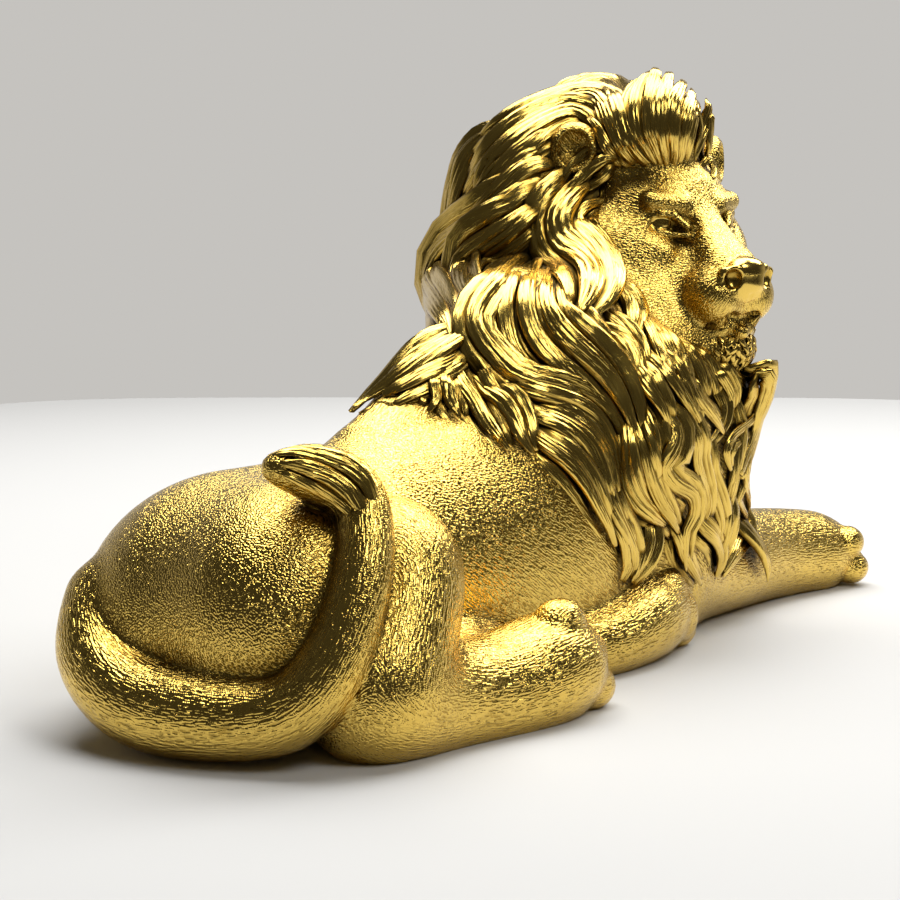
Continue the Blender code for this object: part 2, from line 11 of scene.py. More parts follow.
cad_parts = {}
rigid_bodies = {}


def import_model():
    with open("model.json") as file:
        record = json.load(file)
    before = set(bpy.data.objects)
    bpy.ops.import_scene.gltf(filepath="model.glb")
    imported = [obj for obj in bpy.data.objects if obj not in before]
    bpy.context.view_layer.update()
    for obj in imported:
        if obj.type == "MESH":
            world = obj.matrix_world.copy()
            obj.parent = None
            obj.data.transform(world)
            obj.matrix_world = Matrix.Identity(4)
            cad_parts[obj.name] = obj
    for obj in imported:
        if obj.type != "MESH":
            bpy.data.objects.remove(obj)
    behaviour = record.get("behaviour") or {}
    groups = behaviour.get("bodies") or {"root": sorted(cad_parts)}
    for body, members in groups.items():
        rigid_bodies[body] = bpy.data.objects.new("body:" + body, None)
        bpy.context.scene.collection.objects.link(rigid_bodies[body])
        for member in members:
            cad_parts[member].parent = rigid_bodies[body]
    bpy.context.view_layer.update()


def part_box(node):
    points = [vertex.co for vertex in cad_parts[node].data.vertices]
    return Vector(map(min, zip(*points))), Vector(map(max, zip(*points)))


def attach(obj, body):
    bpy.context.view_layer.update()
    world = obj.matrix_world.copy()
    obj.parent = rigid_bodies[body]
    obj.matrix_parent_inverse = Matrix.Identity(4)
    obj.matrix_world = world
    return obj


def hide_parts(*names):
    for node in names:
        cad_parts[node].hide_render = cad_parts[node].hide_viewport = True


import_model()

# The forms are drawn in millimetres: +X to the forepaws, +Y to the lion's left, ground at Z = 0
figure = {
    "length": 311.5,  # tip of the forepaw to the rump
    "planMiddle": (-6.0, 3.5),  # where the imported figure's origin lies among the forms
    "headCentre": (53.5, 8.0, 122.5),
    "headTurn": 88.0,  # degrees from +X towards -Y
    "faceCentre": (57.3, 2.9, 122.5),
    "faceTurn": 103.5,
    "bodyVoxel": 1.55,
    "ballFineness": 4,
    "boneFineness": 3,
    "boneSpacing": 0.7,  # between the spheres along a bone, as a share of its radius
    "settleRounds": 5,
}
solidLow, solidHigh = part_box("lion")
unit = (solidHigh.x - solidLow.x) / figure["length"]
planMiddle = np.array((*figure["planMiddle"], 0.0))


def toWorld(points):
    return (np.asarray(points, float) - planMiddle) * unit


tiny = 1e-9


def unitRows(vectors):
    return vectors / np.maximum(np.linalg.norm(vectors, axis=1, keepdims=True), tiny)


# Rounded forms that melt into each other

def turned(angles):
    x, y, z = (math.radians(a) for a in angles)
    return np.array(Matrix.Rotation(z, 3, "Z") @ Matrix.Rotation(y, 3, "Y") @ Matrix.Rotation(x, 3, "X"))


def ball(centre, radii, turn=(0, 0, 0), blend=5.0, comb=None):
    return {"kind": "ball", "centre": np.array(centre, float), "radii": np.array(radii, float),
            "turn": turned(turn), "blend": blend, "comb": comb}


def bone(start, end, startRadius, endRadius, blend=5.0, comb=None):
    start = np.array(start, float)
    end = np.array(end, float)
    return {"kind": "bone", "start": start, "end": end, "startRadius": startRadius,
            "endRadius": endRadius, "blend": blend, "comb": end - start if comb is None else comb}


def smoothCurve(rows, steps):
    rows = np.array(rows, float)  # the curve runs through every row
    padded = np.vstack([2 * rows[0] - rows[1], rows, 2 * rows[-1] - rows[-2]])
    t = (np.arange(steps) / steps)[:, None]
    curve = []
    for i in range(len(rows) - 1):
        a, b, c, d = padded[i:i + 4]
        curve.append(0.5 * (2 * b + (c - a) * t + (2 * a - 5 * b + 4 * c - d) * t**2
                            + (3 * b - 3 * c + d - a) * t**3))
    return np.vstack(curve + [rows[-1:]])


def limb(rows, blend=3.0, rootBlend=8.0, steps=4):
    curve = smoothCurve(rows, steps)
    forms = []
    for a, b in zip(curve[:-1], curve[1:]):
        forms.append(bone(a[:3], b[:3], a[3], b[3], blend if forms else rootBlend))
    return forms


def axesOf(turnAngle):
    angle = math.radians(turnAngle)
    forward = (math.cos(angle), -math.sin(angle), 0.0)
    left = (math.sin(angle), math.cos(angle), 0.0)
    return np.stack([forward, left, (0.0, 0.0, 1.0)], 1)


headAxes = axesOf(figure["headTurn"])
headCentre = np.array(figure["headCentre"])
faceAxes = axesOf(figure["faceTurn"])
faceCentre = np.array(figure["faceCentre"])


def inHead(point):
    return headCentre + headAxes @ np.array(point, float)


def inFace(point):
    return faceCentre + faceAxes @ np.array(point, float)


def headBall(centre, radii, blend=4.0):
    form = ball(inHead(centre), radii, blend=blend)
    form["turn"] = headAxes @ form["turn"]
    return form


def faceBall(centre, radii, turn=0.0, blend=4.0):
    form = ball(inFace(centre), radii, (0, 0, turn), blend)
    form["turn"] = faceAxes @ form["turn"]
    return form


def faceBone(start, end, startRadius, endRadius, blend=3.0):
    return bone(inFace(start), inFace(end), startRadius, endRadius, blend, comb=False)


def faceBalls(centre, radii, turn=0.0, blend=4.0):
    ahead, aside, up = centre  # the same on the left and right
    return [faceBall((ahead, aside * side, up), radii, turn * side, blend) for side in (1, -1)]


def faceBones(start, end, startRadius, endRadius, blend=3.0):
    forms = []
    for mirror in ((1, 1, 1), (1, -1, 1)):
        ends = (np.multiply(start, mirror), np.multiply(end, mirror))
        forms.append(faceBone(*ends, startRadius, endRadius, blend))
    return forms


def faceLines(points, radius, blend):
    forms = []
    for start, end in zip(points[:-1], points[1:]):
        forms += faceBones(start, end, radius, radius, blend)
    return forms


flankComb = np.array((0.8, 0.0, -0.6))


def trunkForms():
    return [
        ball((-107, 14, 26.5), (43.5, 38, 35.5), blend=0.0, comb=flankComb),  # rump
        ball((-113, -10, 30), (35, 31, 32.5), turn=(0, 0, 14), blend=8, comb=flankComb),  # right haunch
        ball((-64, 6, 28), (46, 31, 41), blend=14, comb=flankComb),  # loins
        ball((-18, 4, 30), (54, 35, 52), blend=14, comb=flankComb),  # ribs
        ball((31, 4, 36), (37, 33, 54), blend=14, comb=flankComb),  # chest
        bone((38, 6, 66), (44, 14, 106), 29, 25, blend=14),  # neck
    ]


def limbForms():
    thigh = limb([(-112, -18, 38, 20), (-100, -31, 42, 15.5), (-104, -37, 32, 14.5),
                  (-114, -41, 18, 15)], blend=3)
    rightFoot = limb([(-116, -40, 12.5, 15.5), (-97, -42, 10, 13), (-78, -44, 8.5, 12.5),
                      (-64, -46, 10.5, 13), (-54, -46, 12, 12.5)], blend=4)
    leftFoot = limb([(-78, -24, 14, 9), (-43, -26, 9, 8), (-15, -29, 8, 9),
                     (6, -27, 10.5, 11), (20, -23, 11.5, 10.5)], blend=3)
    rightFore = limb([(40, -6, 18, 17), (72, -4, 15.5, 15), (104, -1, 13.5, 14),
                      (126, -3, 12, 12.5), (138, -5.5, 10.5, 11)], blend=5)
    leftFore = limb([(40, 18, 18, 16), (70, 22, 14, 13), (92, 22, 11, 11),
                     (110, 20, 9, 9.5)], blend=5)
    return thigh + rightFoot + leftFoot + rightFore + leftFore


paw = {"toeLength": 1.25, "middleToesAhead": 2.5, "toeBlend": 1.0}
forwards = np.array((1.0, 0.0, 0.0))


def toes(first, last, radius, count=4):
    first = np.array(first, float)
    last = np.array(last, float)
    radii = (radius * paw["toeLength"], radius, radius)
    forms = []
    for i in range(count):
        t = i / (count - 1)
        ahead = np.array((math.sin(math.pi * t) * paw["middleToesAhead"], 0, 0))
        forms.append(ball(first + (last - first) * t + ahead, radii, blend=paw["toeBlend"], comb=forwards))
    return forms


def pawForms():
    forms = toes((-57, -49, 23.5), (-47, -51, 5.5), 6.3, count=3)  # right hind foot
    forms += toes((19, -27, 18.5), (27, -25, 5), 5.8, count=3)  # left hind foot
    forms += toes((140.5, -14.5, 15), (140.5, 4, 15), 5.6)  # right forepaw, its upper and lower row
    forms += toes((143.5, -15, 6), (143.5, 4, 6), 5.4)
    forms += toes((112, 11, 13), (112, 28, 13), 5.0)  # left forepaw
    forms += toes((114, 11, 5.5), (114, 28, 5.5), 5.0)
    forms.append(ball((-54, -55, 12), (6.5, 5, 8), turn=(0, 0, 30), blend=1.5))  # outer pads of the hind feet
    forms.append(ball((24, -30, 10), (6, 4.5, 7), turn=(0, 0, 30), blend=1.5))
    return forms


def tailForms():
    return limb([(-141, 29, 32, 9), (-149, 20.5, 20, 9.5), (-151, 4, 12, 10), (-147, -16, 10.5, 9.5),
                 (-138, -34, 13, 8.5), (-131, -42, 24, 7.5), (-121, -42, 43, 6.5),
                 (-115, -37, 56, 6), (-115, -31, 63, 6.6), (-122, -27, 66.5, 6.2),
                 (-132, -25, 68.5, 3.4)], blend=2, rootBlend=4)


def maneForms():
    return [
        headBall((-26, -12, -8), (21, 33, 33), blend=6),
        headBall((-32, 6, 0), (24, 34, 37), blend=6),
        headBall((-35, -13, -16), (22, 31, 23), blend=8),
        headBall((-29, -8, 12), (22, 29, 26), blend=6),
        *faceBalls((-26, 5, 16), (23, 25, 25), blend=6),
        faceBall((-25, 12, -8), (21, 24, 29), blend=6),
        headBall((-5, 0, 22), (14, 18, 19), blend=5),
        faceBall((2, -4, 26.5), (12, 13, 15), blend=4),
        ball((48, -5, 78), (24, 23, 36), blend=8),
        ball((49, -8, 50), (20, 20, 32), blend=8),
        ball((-2, 9, 82), (40, 26, 22), turn=(0, -33, 0), blend=10),
        bone((-6, 12, 94), (-66, 10, 64), 17, 7, blend=8),
        ball((20, -8, 62), (27, 25, 32), blend=8),
        ball((44, 30, 88), (28, 20, 34), blend=10),
    ]


chin = {"centre": (24.5, 0.0, -36.0), "radii": (11.5, 11.3, 9.0)}


def headForms():
    forms = [
        faceBall((-6, 0, 2), (24, 25, 20), blend=4),  # skull
        faceBall((3.5, 0, 7), (13, 15, 12.5), blend=5),  # forehead
        faceBone((10, 0, -16), (26, 0, -18), 15, 12, blend=6),  # muzzle
        faceBall((12, 0, -30), (17, 13, 9), blend=5),  # jaw
        faceBall(chin["centre"], chin["radii"], blend=3),
    ]
    forms += faceBalls((3, 16, -11), (14, 9.5, 14), blend=6)  # cheek
    forms += faceBones((13.3, 1.8, 4.4), (32.9, 3.5, -13.8), 4.5, 4.5, blend=4)  # bridge of the nose
    forms += faceBones((16, 7.5, 6.0), (12.5, 15.5, 7.2), 3.2, 3.0, blend=2.5)  # brow
    forms += faceBones((17, 14.5, -8), (7, 20.5, -4), 2.6, 3.5, blend=4)  # cheekbone
    forms += faceBalls((29.8, 6.5, -20.5), (9, 8.3, 8.6), blend=3)  # whisker pad
    return forms


mouth = {  # places in the picture, read off the near side
    "line": ((662, 305), (668, 312), (680, 320), (692, 325), (704, 326), (718, 323), (731, 317)),
    "lip": ((668, 317), (681, 327), (695, 331), (708, 331), (721, 327), (735, 323)),
    "lineEnd": (36.5, 0, -27.8),
    "lipEnd": (35.8, 0, -30.8),
    "lineSize": (1.5, 1.0),  # radius and blend
    "lipSize": (2.0, 1.6),
}


def faceSpots(pixels):
    depth, ways = onPicture(np.array(pixels, float), (headForms(), [], []))
    rows = (cameraPlace + ways * depth[:, None] - faceCentre) @ faceAxes
    return [tuple(row) for row in rows]


def faceForms():
    lip = faceLines(faceSpots(mouth["lip"]) + [mouth["lipEnd"]], *mouth["lipSize"])
    return headForms() + lip + noseForms()


def noseForms():
    pad = faceBall((36.8, 0, -15.2), (4.4, 7.8, 6.3), blend=1.5)
    top = faceBall((38, 0, -12.6), (3.4, 6.6, 3), blend=1.5)
    wing = ((39.3, 5.6, -12.6), (37.2, 8.8, -13.4), (36.6, 8.7, -16), (37.2, 5.4, -19.2), (37.8, 0, -20.4))
    return [pad, top] + faceLines(wing, 1.3, 1.0)


def eyeballs():
    return faceBalls((11.4, 11.4, 0.9), (5.0, 5.0, 4.8), blend=0.2)


def eyeForms():
    upperLid = ((10.9, 17.6, 1.0), (14.8, 14.1, 3.5), (17.2, 10.8, 3.1), (20.2, 8, -0.6))
    lowerLid = ((10.9, 17.6, 0.7), (14.9, 14.3, -1.8), (17.6, 10.6, -2.8), (20.8, 8, -3.0))
    return eyeballs() + faceLines(upperLid, 1.1, 0.7) + faceLines(lowerLid, 0.9, 0.7)


ear = {
    "places": (((-6.7, -29.7, 22.5), -40), ((-9.5, 28, 19.5), 40)),  # right and left, each with its turn
    "radii": (4.6, 7.6, 8.4),
    "cupRadii": (7.2, 6.1, 6.9),
    "cupAhead": 6.8,
    "cupUp": 0.3,
}


def earForms():
    return [faceBall(place, ear["radii"], earTurn, blend=1.5) for place, earTurn in ear["places"]]


def earCups():
    cups = []
    for (u, v, w), earTurn in ear["places"]:
        ahead = ear["cupAhead"] * math.cos(math.radians(earTurn))
        aside = ear["cupAhead"] * math.sin(math.radians(earTurn))
        middle = (u + ahead, v + aside, w + ear["cupUp"])
        cups.append(faceBall(middle, ear["cupRadii"], earTurn, blend=0.6))
    return cups


def faceCarves():
    carves = faceBalls((20.8, 9.4, -0.2), (3.0, 3.2, 2.9), blend=3.0)  # inner corner of the eye
    carves += faceBalls((17, 14.2, 0.7), (3.9, 5.6, 2.9), blend=1.0)  # socket
    carves += faceLines(faceSpots(mouth["line"]) + [mouth["lineEnd"]], *mouth["lineSize"])
    carves += faceBalls((40.0, 7.4, -15.4), (3.8, 2.6, 3.1), turn=50, blend=0.8)  # nostril
    carves += faceBones((39.6, 8.4, -15.8), (37.8, 11.4, -17.4), 1.4, 0.9, blend=0.8)
    carves += [faceBone((40.2, 0, -20.5), (37.2, 0, -27), 0.8, 0.9, blend=0.8)]  # furrow under the nose
    return carves + earCups()


# Distance to the melted surface

farAway = 1000.0  # stands for whatever lies beyond the margin
nearMargin = 6.0
settling = {"probe": 0.05, "leastSlope": 0.05, "longest": 1.5}  # how points walk onto the surface


def formDistance(form, points):
    if form["kind"] == "ball":
        local = (points - form["centre"]) @ form["turn"]
        scaled = np.linalg.norm(local / form["radii"], axis=1)
        slope = np.linalg.norm(local / form["radii"]**2, axis=1)
        return scaled * (scaled - 1) / np.maximum(slope, tiny)
    along = form["end"] - form["start"]
    share = np.clip((points - form["start"]) @ along / max(along @ along, tiny), 0, 1)
    radius = form["startRadius"] * (1 - share) + form["endRadius"] * share
    return np.linalg.norm(points - form["start"] - share[:, None] * along, axis=1) - radius


def formReach(form):
    if form["kind"] == "ball":
        return form["centre"], form["radii"].max()
    half = np.linalg.norm(form["end"] - form["start"]) / 2
    return (form["start"] + form["end"]) / 2, half + max(form["startRadius"], form["endRadius"])


def nearForm(form, points, margin=nearMargin):
    centre, radius = formReach(form)
    span = radius + form["blend"] + margin
    return np.flatnonzero(((points - centre)**2).sum(1) < span**2)


def melt(a, b, width):
    if width <= 0:
        return np.minimum(a, b)
    overlap = np.maximum(width - np.abs(a - b), 0) / width
    return np.minimum(a, b) - overlap**2 * width / 4


def distance(shape, points, margin=nearMargin):
    result = np.full(len(points), farAway)  # forms, less the carves, with the late forms laid in last
    for sign, forms in zip((1, -1, 1), shape):
        for form in forms:
            near = nearForm(form, points, margin)
            if len(near):
                apart = formDistance(form, points[near])
                result[near] = sign * melt(sign * result[near], apart, form["blend"])
    return result


def slopeOf(shape, points, here, margin):
    step = settling["probe"]
    return np.stack([(distance(shape, points + step * axis, margin) - here) / step for axis in np.eye(3)], 1)


def settle(shape, points, rounds, longest=settling["longest"], margin=nearMargin):
    for _ in range(rounds):
        here = distance(shape, points, margin)
        rise = slopeOf(shape, points, here, margin)
        steep = np.maximum((rise**2).sum(1, keepdims=True), settling["leastSlope"])
        move = -here[:, None] * rise / steep
        size = np.linalg.norm(move, axis=1, keepdims=True)
        points = points + move * np.minimum(1, longest / np.maximum(size, tiny))
    return points, unitRows(slopeOf(shape, points, distance(shape, points, margin), margin))


# The body: spheres along the forms, joined by a voxel remesh and walked onto the melted surface

def applied(item):
    depsgraph = bpy.context.evaluated_depsgraph_get()
    depsgraph.update()
    mesh = bpy.data.meshes.new_from_object(item.evaluated_get(depsgraph))
    name = item.name
    bpy.data.objects.remove(item, do_unlink=True)
    made = bpy.data.objects.new(name, mesh)
    bpy.context.scene.collection.objects.link(made)
    return made


def sphereMesh(fineness):
    shape = bmesh.new()
    bmesh.ops.create_icosphere(shape, subdivisions=fineness, radius=1.0)
    mesh = bpy.data.meshes.new("sphere")
    shape.to_mesh(mesh)
    shape.free()
    return mesh


def addStretched(shape, mesh, place):
    copy = mesh.copy()
    copy.transform(place)
    shape.from_mesh(copy)
    bpy.data.meshes.remove(copy)


def coreObject(forms, voxel):
    fine = sphereMesh(figure["ballFineness"])
    coarse = sphereMesh(figure["boneFineness"])
    shape = bmesh.new()
    for form in forms:
        if form["kind"] == "ball":
            turn = Matrix(form["turn"].tolist()).to_4x4()
            place = Matrix.Translation(Vector(form["centre"])) @ turn
            addStretched(shape, fine, place @ Matrix.Diagonal((*form["radii"], 1)))
            continue
        start = Vector(form["start"])
        end = Vector(form["end"])
        apart = figure["boneSpacing"] * min(form["startRadius"], form["endRadius"])
        steps = max(1, math.ceil((end - start).length / apart))
        for i in range(steps + 1):
            t = i / steps
            radius = form["startRadius"] * (1 - t) + form["endRadius"] * t
            place = Matrix.Translation(start.lerp(end, t))
            addStretched(shape, coarse, place @ Matrix.Diagonal((radius, radius, radius, 1)))
    mesh = bpy.data.meshes.new("body")
    shape.to_mesh(mesh)
    shape.free()
    core = bpy.data.objects.new("body", mesh)
    bpy.context.scene.collection.objects.link(core)
    remesh = core.modifiers.new("join", "REMESH")
    remesh.mode = "VOXEL"
    remesh.voxel_size = voxel
    return applied(core)


fineAreas = {
    "face": (inFace((20, 0, -8)), 33.0),
    "rightEar": (inFace((-5, -31, 22.5)), 11.0),
    "leftEar": (inFace((-8, 29, 19.5)), 11.0),
    "rightEye": (inFace((16, -13, 1)), 9.0),
    "leftEye": (inFace((16, 13, 1)), 9.0),
    "nose": (inFace((38, 0, -16)), 12.0),
}


def refineAreas(mesh):
    shape = bmesh.new()  # halves the quads where the carving is small
    shape.from_mesh(mesh)
    for centre, radius in fineAreas.values():
        middle = Vector(centre)
        edges = [e for e in shape.edges if all((v.co - middle).length < radius for v in e.verts)]
        bmesh.ops.subdivide_edges(shape, edges=edges, cuts=1, use_grid_fill=True)
    shape.to_mesh(mesh)
    shape.free()


def meshPoints(mesh):
    points = np.empty(len(mesh.vertices) * 3)
    mesh.vertices.foreach_get("co", points)
    return points.reshape(-1, 3)


fur = {
    "bodySize": 0.48,
    "faceSize": 0.40,
    "faceAbove": 76.0,
    "length": 3.6,  # strokes, as a multiple of their size
    "depth": 0.19,
    "fullSize": 0.6,  # strokes of this size have the full depth
    "contrast": (0.40, 0.60),
    "between": 0.38,  # how dark the painted shade goes in the gaps between strokes, and in the hollows
    "hollows": 0.9,
    "weakest": 0.02,
    "combReach": 1.5,  # how far from a form its comb still counts
    "faceStart": (44, 0, -6),  # on the face the fur runs away from here
    "faceReach": 52,
    "faceFade": 6,
    "headAbove": 60,
    "bareEdge": (1.4, 0.5),
}


def furDirection(forms, points):
    flow = np.tile(flankComb * fur["weakest"], (len(points), 1))  # each form combs the hide near it
    for form in forms:
        if form["comb"] is None or form["comb"] is False:
            continue
        near = nearForm(form, points)
        if len(near):
            comb = np.array(form["comb"], float)
            weight = np.exp(-np.abs(formDistance(form, points[near])) / fur["combReach"])
            flow[near] += weight[:, None] * comb / np.linalg.norm(comb)
    away = points - inFace(fur["faceStart"])
    reach = np.linalg.norm(away, axis=1, keepdims=True)
    onFace = np.clip((fur["faceReach"] - reach) / fur["faceFade"], 0, 1) * (points[:, 2:] > fur["headAbove"])
    return unitRows(flow * (1 - onFace) + away / reach * onFace * 2)


def cutAtGround(mesh):
    shape = bmesh.new()
    shape.from_mesh(mesh)
    everything = shape.verts[:] + shape.edges[:] + shape.faces[:]
    bmesh.ops.bisect_plane(shape, geom=everything, plane_co=(0, 0, 0), plane_no=(0, 0, -1), clear_outer=True)
    rim = [e for e in shape.edges if e.is_boundary]
    bmesh.ops.holes_fill(shape, edges=rim)
    shape.to_mesh(mesh)
    shape.free()


def addVectors(mesh, name, values):
    mesh.attributes.new(name, "FLOAT_VECTOR", "POINT").data.foreach_set("vector", np.ravel(values))


def addValues(mesh, name, values):
    mesh.attributes.new(name, "FLOAT", "POINT").data.foreach_set("value", np.ravel(values))


def bareShare(points):
    bare = np.zeros(len(points))  # the nose and the eyes have no fur
    most, fade = fur["bareEdge"]
    for form in noseForms() + eyeballs():
        near = nearForm(form, points)
        if len(near):
            share = np.clip(most - formDistance(form, points[near]) / fade, 0, 1)
            bare[near] = np.maximum(bare[near], share)
    return bare


def makeBody():
    forms = trunkForms() + limbForms() + pawForms() + tailForms() + maneForms() + faceForms() + earForms()
    body = coreObject(forms + eyeForms(), figure["bodyVoxel"])
    refineAreas(body.data)
    points, _ = settle((forms, faceCarves(), eyeForms()), meshPoints(body.data), figure["settleRounds"])
    body.data.vertices.foreach_set("co", points.ravel())
    cutAtGround(body.data)
    points = meshPoints(body.data)
    addVectors(body.data, "furFlow", furDirection(forms, points))
    addValues(body.data, "bare", bareShare(points))
    sizes = np.where(points[:, 2] > fur["faceAbove"], fur["faceSize"], fur["bodySize"])
    addValues(body.data, "furSize", sizes)
    return body


# The camera stands where the photograph was taken from; picture points are read at 900 x 900

camera = {
    "place": (-446.0, -362.0, 130.0),  # in the figure's own frame
    "turn": 42.0,
    "lens": 80.0,
    "sensor": 36.0,
    "picture": 900.0,
    "horizon": 250.0,  # picture points that the level line lies above the middle
    "nearest": 0.01,
    "sightLine": (400.0, 760.0, 1.5),  # where a sight line is felt along: first, last, step
    "sightMargin": 15,
}
focal = camera["lens"] / camera["sensor"] * camera["picture"]
pitch = math.atan(camera["horizon"] / focal)
cameraTurn = math.radians(camera["turn"])
lookAhead = np.array((math.cos(cameraTurn), math.sin(cameraTurn), 0.0))
lookAlong = lookAhead * math.cos(pitch) + np.array((0.0, 0.0, -math.sin(pitch)))
lookRight = np.array((math.sin(cameraTurn), -math.cos(cameraTurn), 0.0))
lookUp = np.cross(lookRight, lookAlong)
cameraPlace = np.array(camera["place"])


def makeCamera():
    data = bpy.data.cameras.new("camera")
    data.lens = camera["lens"]
    data.sensor_width = camera["sensor"]
    data.clip_start = camera["nearest"]
    item = bpy.data.objects.new("camera", data)
    item.location = toWorld(camera["place"])
    item.rotation_euler = Vector(lookAlong).to_track_quat("-Z", "Y").to_euler()
    bpy.context.scene.collection.objects.link(item)
    bpy.context.scene.camera = item


# The mane

lockLook = {
    "seen": (25, 28),  # points round a lock and rings along it
    "filling": (15, 17),
    "combed": (17, 21),
    "small": (11, 9),
    "curveSteps": 8,
    "crowding": 0.9,  # below 1 the rings stand closer at the tip
    "thickness": 0.46,  # share of the width
    "taper": (1.15, 0.3),
    "ends": (0.2, 0.3),  # how far root and tip run on, as shares of the width
    "fullness": 2.4,
    "rounding": 0.35,
    "underPoints": 4,
    "underSpan": 0.8,
    "underDepth": 0.8,
    "twist": 0.3,
    "twistTurns": 1.1,
    "rootFade": 5,
    "tipFade": (7, 0.25),
    "edgeFade": (1.25, 4),
    "seenWidth": 1.3,
    "longestStep": 16.0,
    "facing": 0.6,  # how far a seen lock is turned to the camera
}
strandLook = {
    "fewest": 3,
    "kinds": 3,
    "pointsEach": 4,  # no narrower than this many points
    "bend": 0.5,
    "bendTurns": 0.8,
    "bendShare": 0.35,
    "sharpness": 0.6,  # the lower, the rounder the strands and the sharper the grooves
    "depth": 0.15,  # share of the thickness
    "level": 0.7,
    "fineCount": 2.37,
    "fineShift": 0.3,
    "fineDepth": 0.05,
    "fineLevel": 0.6,
    "stretch": 12,
    "apart": 7.3,
}


def ownShare(number):
    return number * 0.618034 % 1  # differs well from one lock to the next


def evenRings(path, outs, widths, share):
    curve = smoothCurve(np.hstack([path, outs, widths[:, None]]), lockLook["curveSteps"])
    steps = np.linalg.norm(np.diff(curve[:, :3], axis=0), axis=1)
    length = np.concatenate([[0], np.cumsum(steps)])
    spots = share**lockLook["crowding"] * length[-1]
    rows = np.stack([np.interp(spots, length, curve[:, k]) for k in range(7)], 1)
    return rows[:, :3], rows[:, 3:6], rows[:, 6], spots


def crossSection(around):
    count = lockLook["underPoints"]  # the points go over the lock from -1 to 1, then back below it
    even = np.linspace(-1, 1, around - count)
    upper = np.sin(even * math.pi / 2) * lockLook["rounding"] + even * (1 - lockLook["rounding"])
    under = np.linspace(lockLook["underSpan"], -lockLook["underSpan"], count)
    across = np.concatenate([upper, under])
    isUpper = np.arange(len(across)) < len(upper)
    dome = np.where(isUpper, 1, -lockLook["underDepth"]) * (1 - np.abs(across)**lockLook["fullness"])**0.5
    return across, isUpper, dome


def strandRelief(across, isUpper, share, number):
    own = ownShare(number)
    look = strandLook
    strands = min(look["fewest"] + number % look["kinds"], isUpper.sum() // look["pointsEach"])
    bend = np.sin(2 * math.pi * (share[:, None] * look["bendTurns"] + own * 3))
    bend = look["bend"] * bend * (1 - across[None]**2)
    lanes = strands * (across[None] * 0.5 + 0.5) + look["bendShare"] * bend + own
    ridge = np.abs(np.sin(math.pi * lanes))**look["sharpness"]
    ridge = np.where(isUpper[None], ridge, 0.6)
    fine = np.abs(np.sin(math.pi * (lanes * look["fineCount"] + look["fineShift"] * own)))
    relief = look["depth"] * (ridge - look["level"]) + look["fineDepth"] * (fine - look["fineLevel"])
    return ridge, relief


def shellFaces(rings, columns):
    i, j = np.meshgrid(np.arange(rings - 1), np.arange(columns), indexing="ij")
    after = (j + 1) % columns
    here = i * columns
    above = (i + 1) * columns
    quads = np.stack([here + j, here + after, above + after, above + j], -1).reshape(-1, 4)
    j = np.arange(columns)
    after = (j + 1) % columns
    last = (rings - 1) * columns
    rootFan = np.stack([np.full(columns, rings * columns), after, j], 1)
    tipFan = np.stack([np.full(columns, rings * columns + 1), last + j, last + after], 1)
    return quads[:, ::-1], np.vstack([rootFan, tipFan])[:, ::-1]


def hairPlaces(across, widths, spots, number):
    size = (len(widths), len(across))  # where each point lies for the fine strands
    aside = across[None] * widths[:, None] / 2
    along = np.broadcast_to(spots[:, None] / strandLook["stretch"], size)
    places = np.stack([aside, along, np.full(size, number * strandLook["apart"])], -1).reshape(-1, 3)
    return np.vstack([places, places[0], places[-1]])


def lockShell(path, outs, widths, number, fineness):
    around, rings = fineness  # a closed shell round the path, with strands along its upper side
    share = np.linspace(0, 1, rings)
    path, outs, widths, spots = evenRings(path, outs, widths, share)
    run = unitRows(np.gradient(path, axis=0))
    outs = unitRows(outs - (outs * run).sum(1, keepdims=True) * run)
    side = np.cross(outs, run)
    twist = lockLook["twist"] * np.sin(2 * math.pi * (share * lockLook["twistTurns"] + ownShare(number)))
    sideways = side * np.cos(twist)[:, None] + outs * np.sin(twist)[:, None]
    upwards = outs * np.cos(twist)[:, None] - side * np.sin(twist)[:, None]
    across, isUpper, dome = crossSection(around)
    ridge, relief = strandRelief(across, isUpper, share, number)
    tipRate, tipLeast = lockLook["tipFade"]
    fade = np.clip(share * lockLook["rootFade"], 0, 1) * np.clip((1 - share) * tipRate + tipLeast, 0, 1)
    fade = fade[:, None]
    most, fall = lockLook["taper"]
    thick = widths * lockLook["thickness"] * (most - fall * share)
    edgeMost, edgePower = lockLook["edgeFade"]
    edge = np.clip(edgeMost - across[None]**edgePower, 0, 1)
    height = dome[None] * 0.5 + relief * fade * isUpper[None] * edge
    grid = (path[:, None] + sideways[:, None] * (across[None, :, None] * widths[:, None, None] / 2)
            + upwards[:, None] * (height * thick[:, None])[:, :, None])
    rootReach, tipReach = lockLook["ends"]
    root = path[0] - run[0] * widths[0] * rootReach
    tip = path[-1] + run[-1] * widths[-1] * tipReach
    points = np.vstack([grid.reshape(-1, 3), root, tip])
    valley = np.append((ridge * fade + 1 - fade).ravel(), (1, 1))
    return points, *shellFaces(rings, len(across)), hairPlaces(across, widths, spots, number), valley


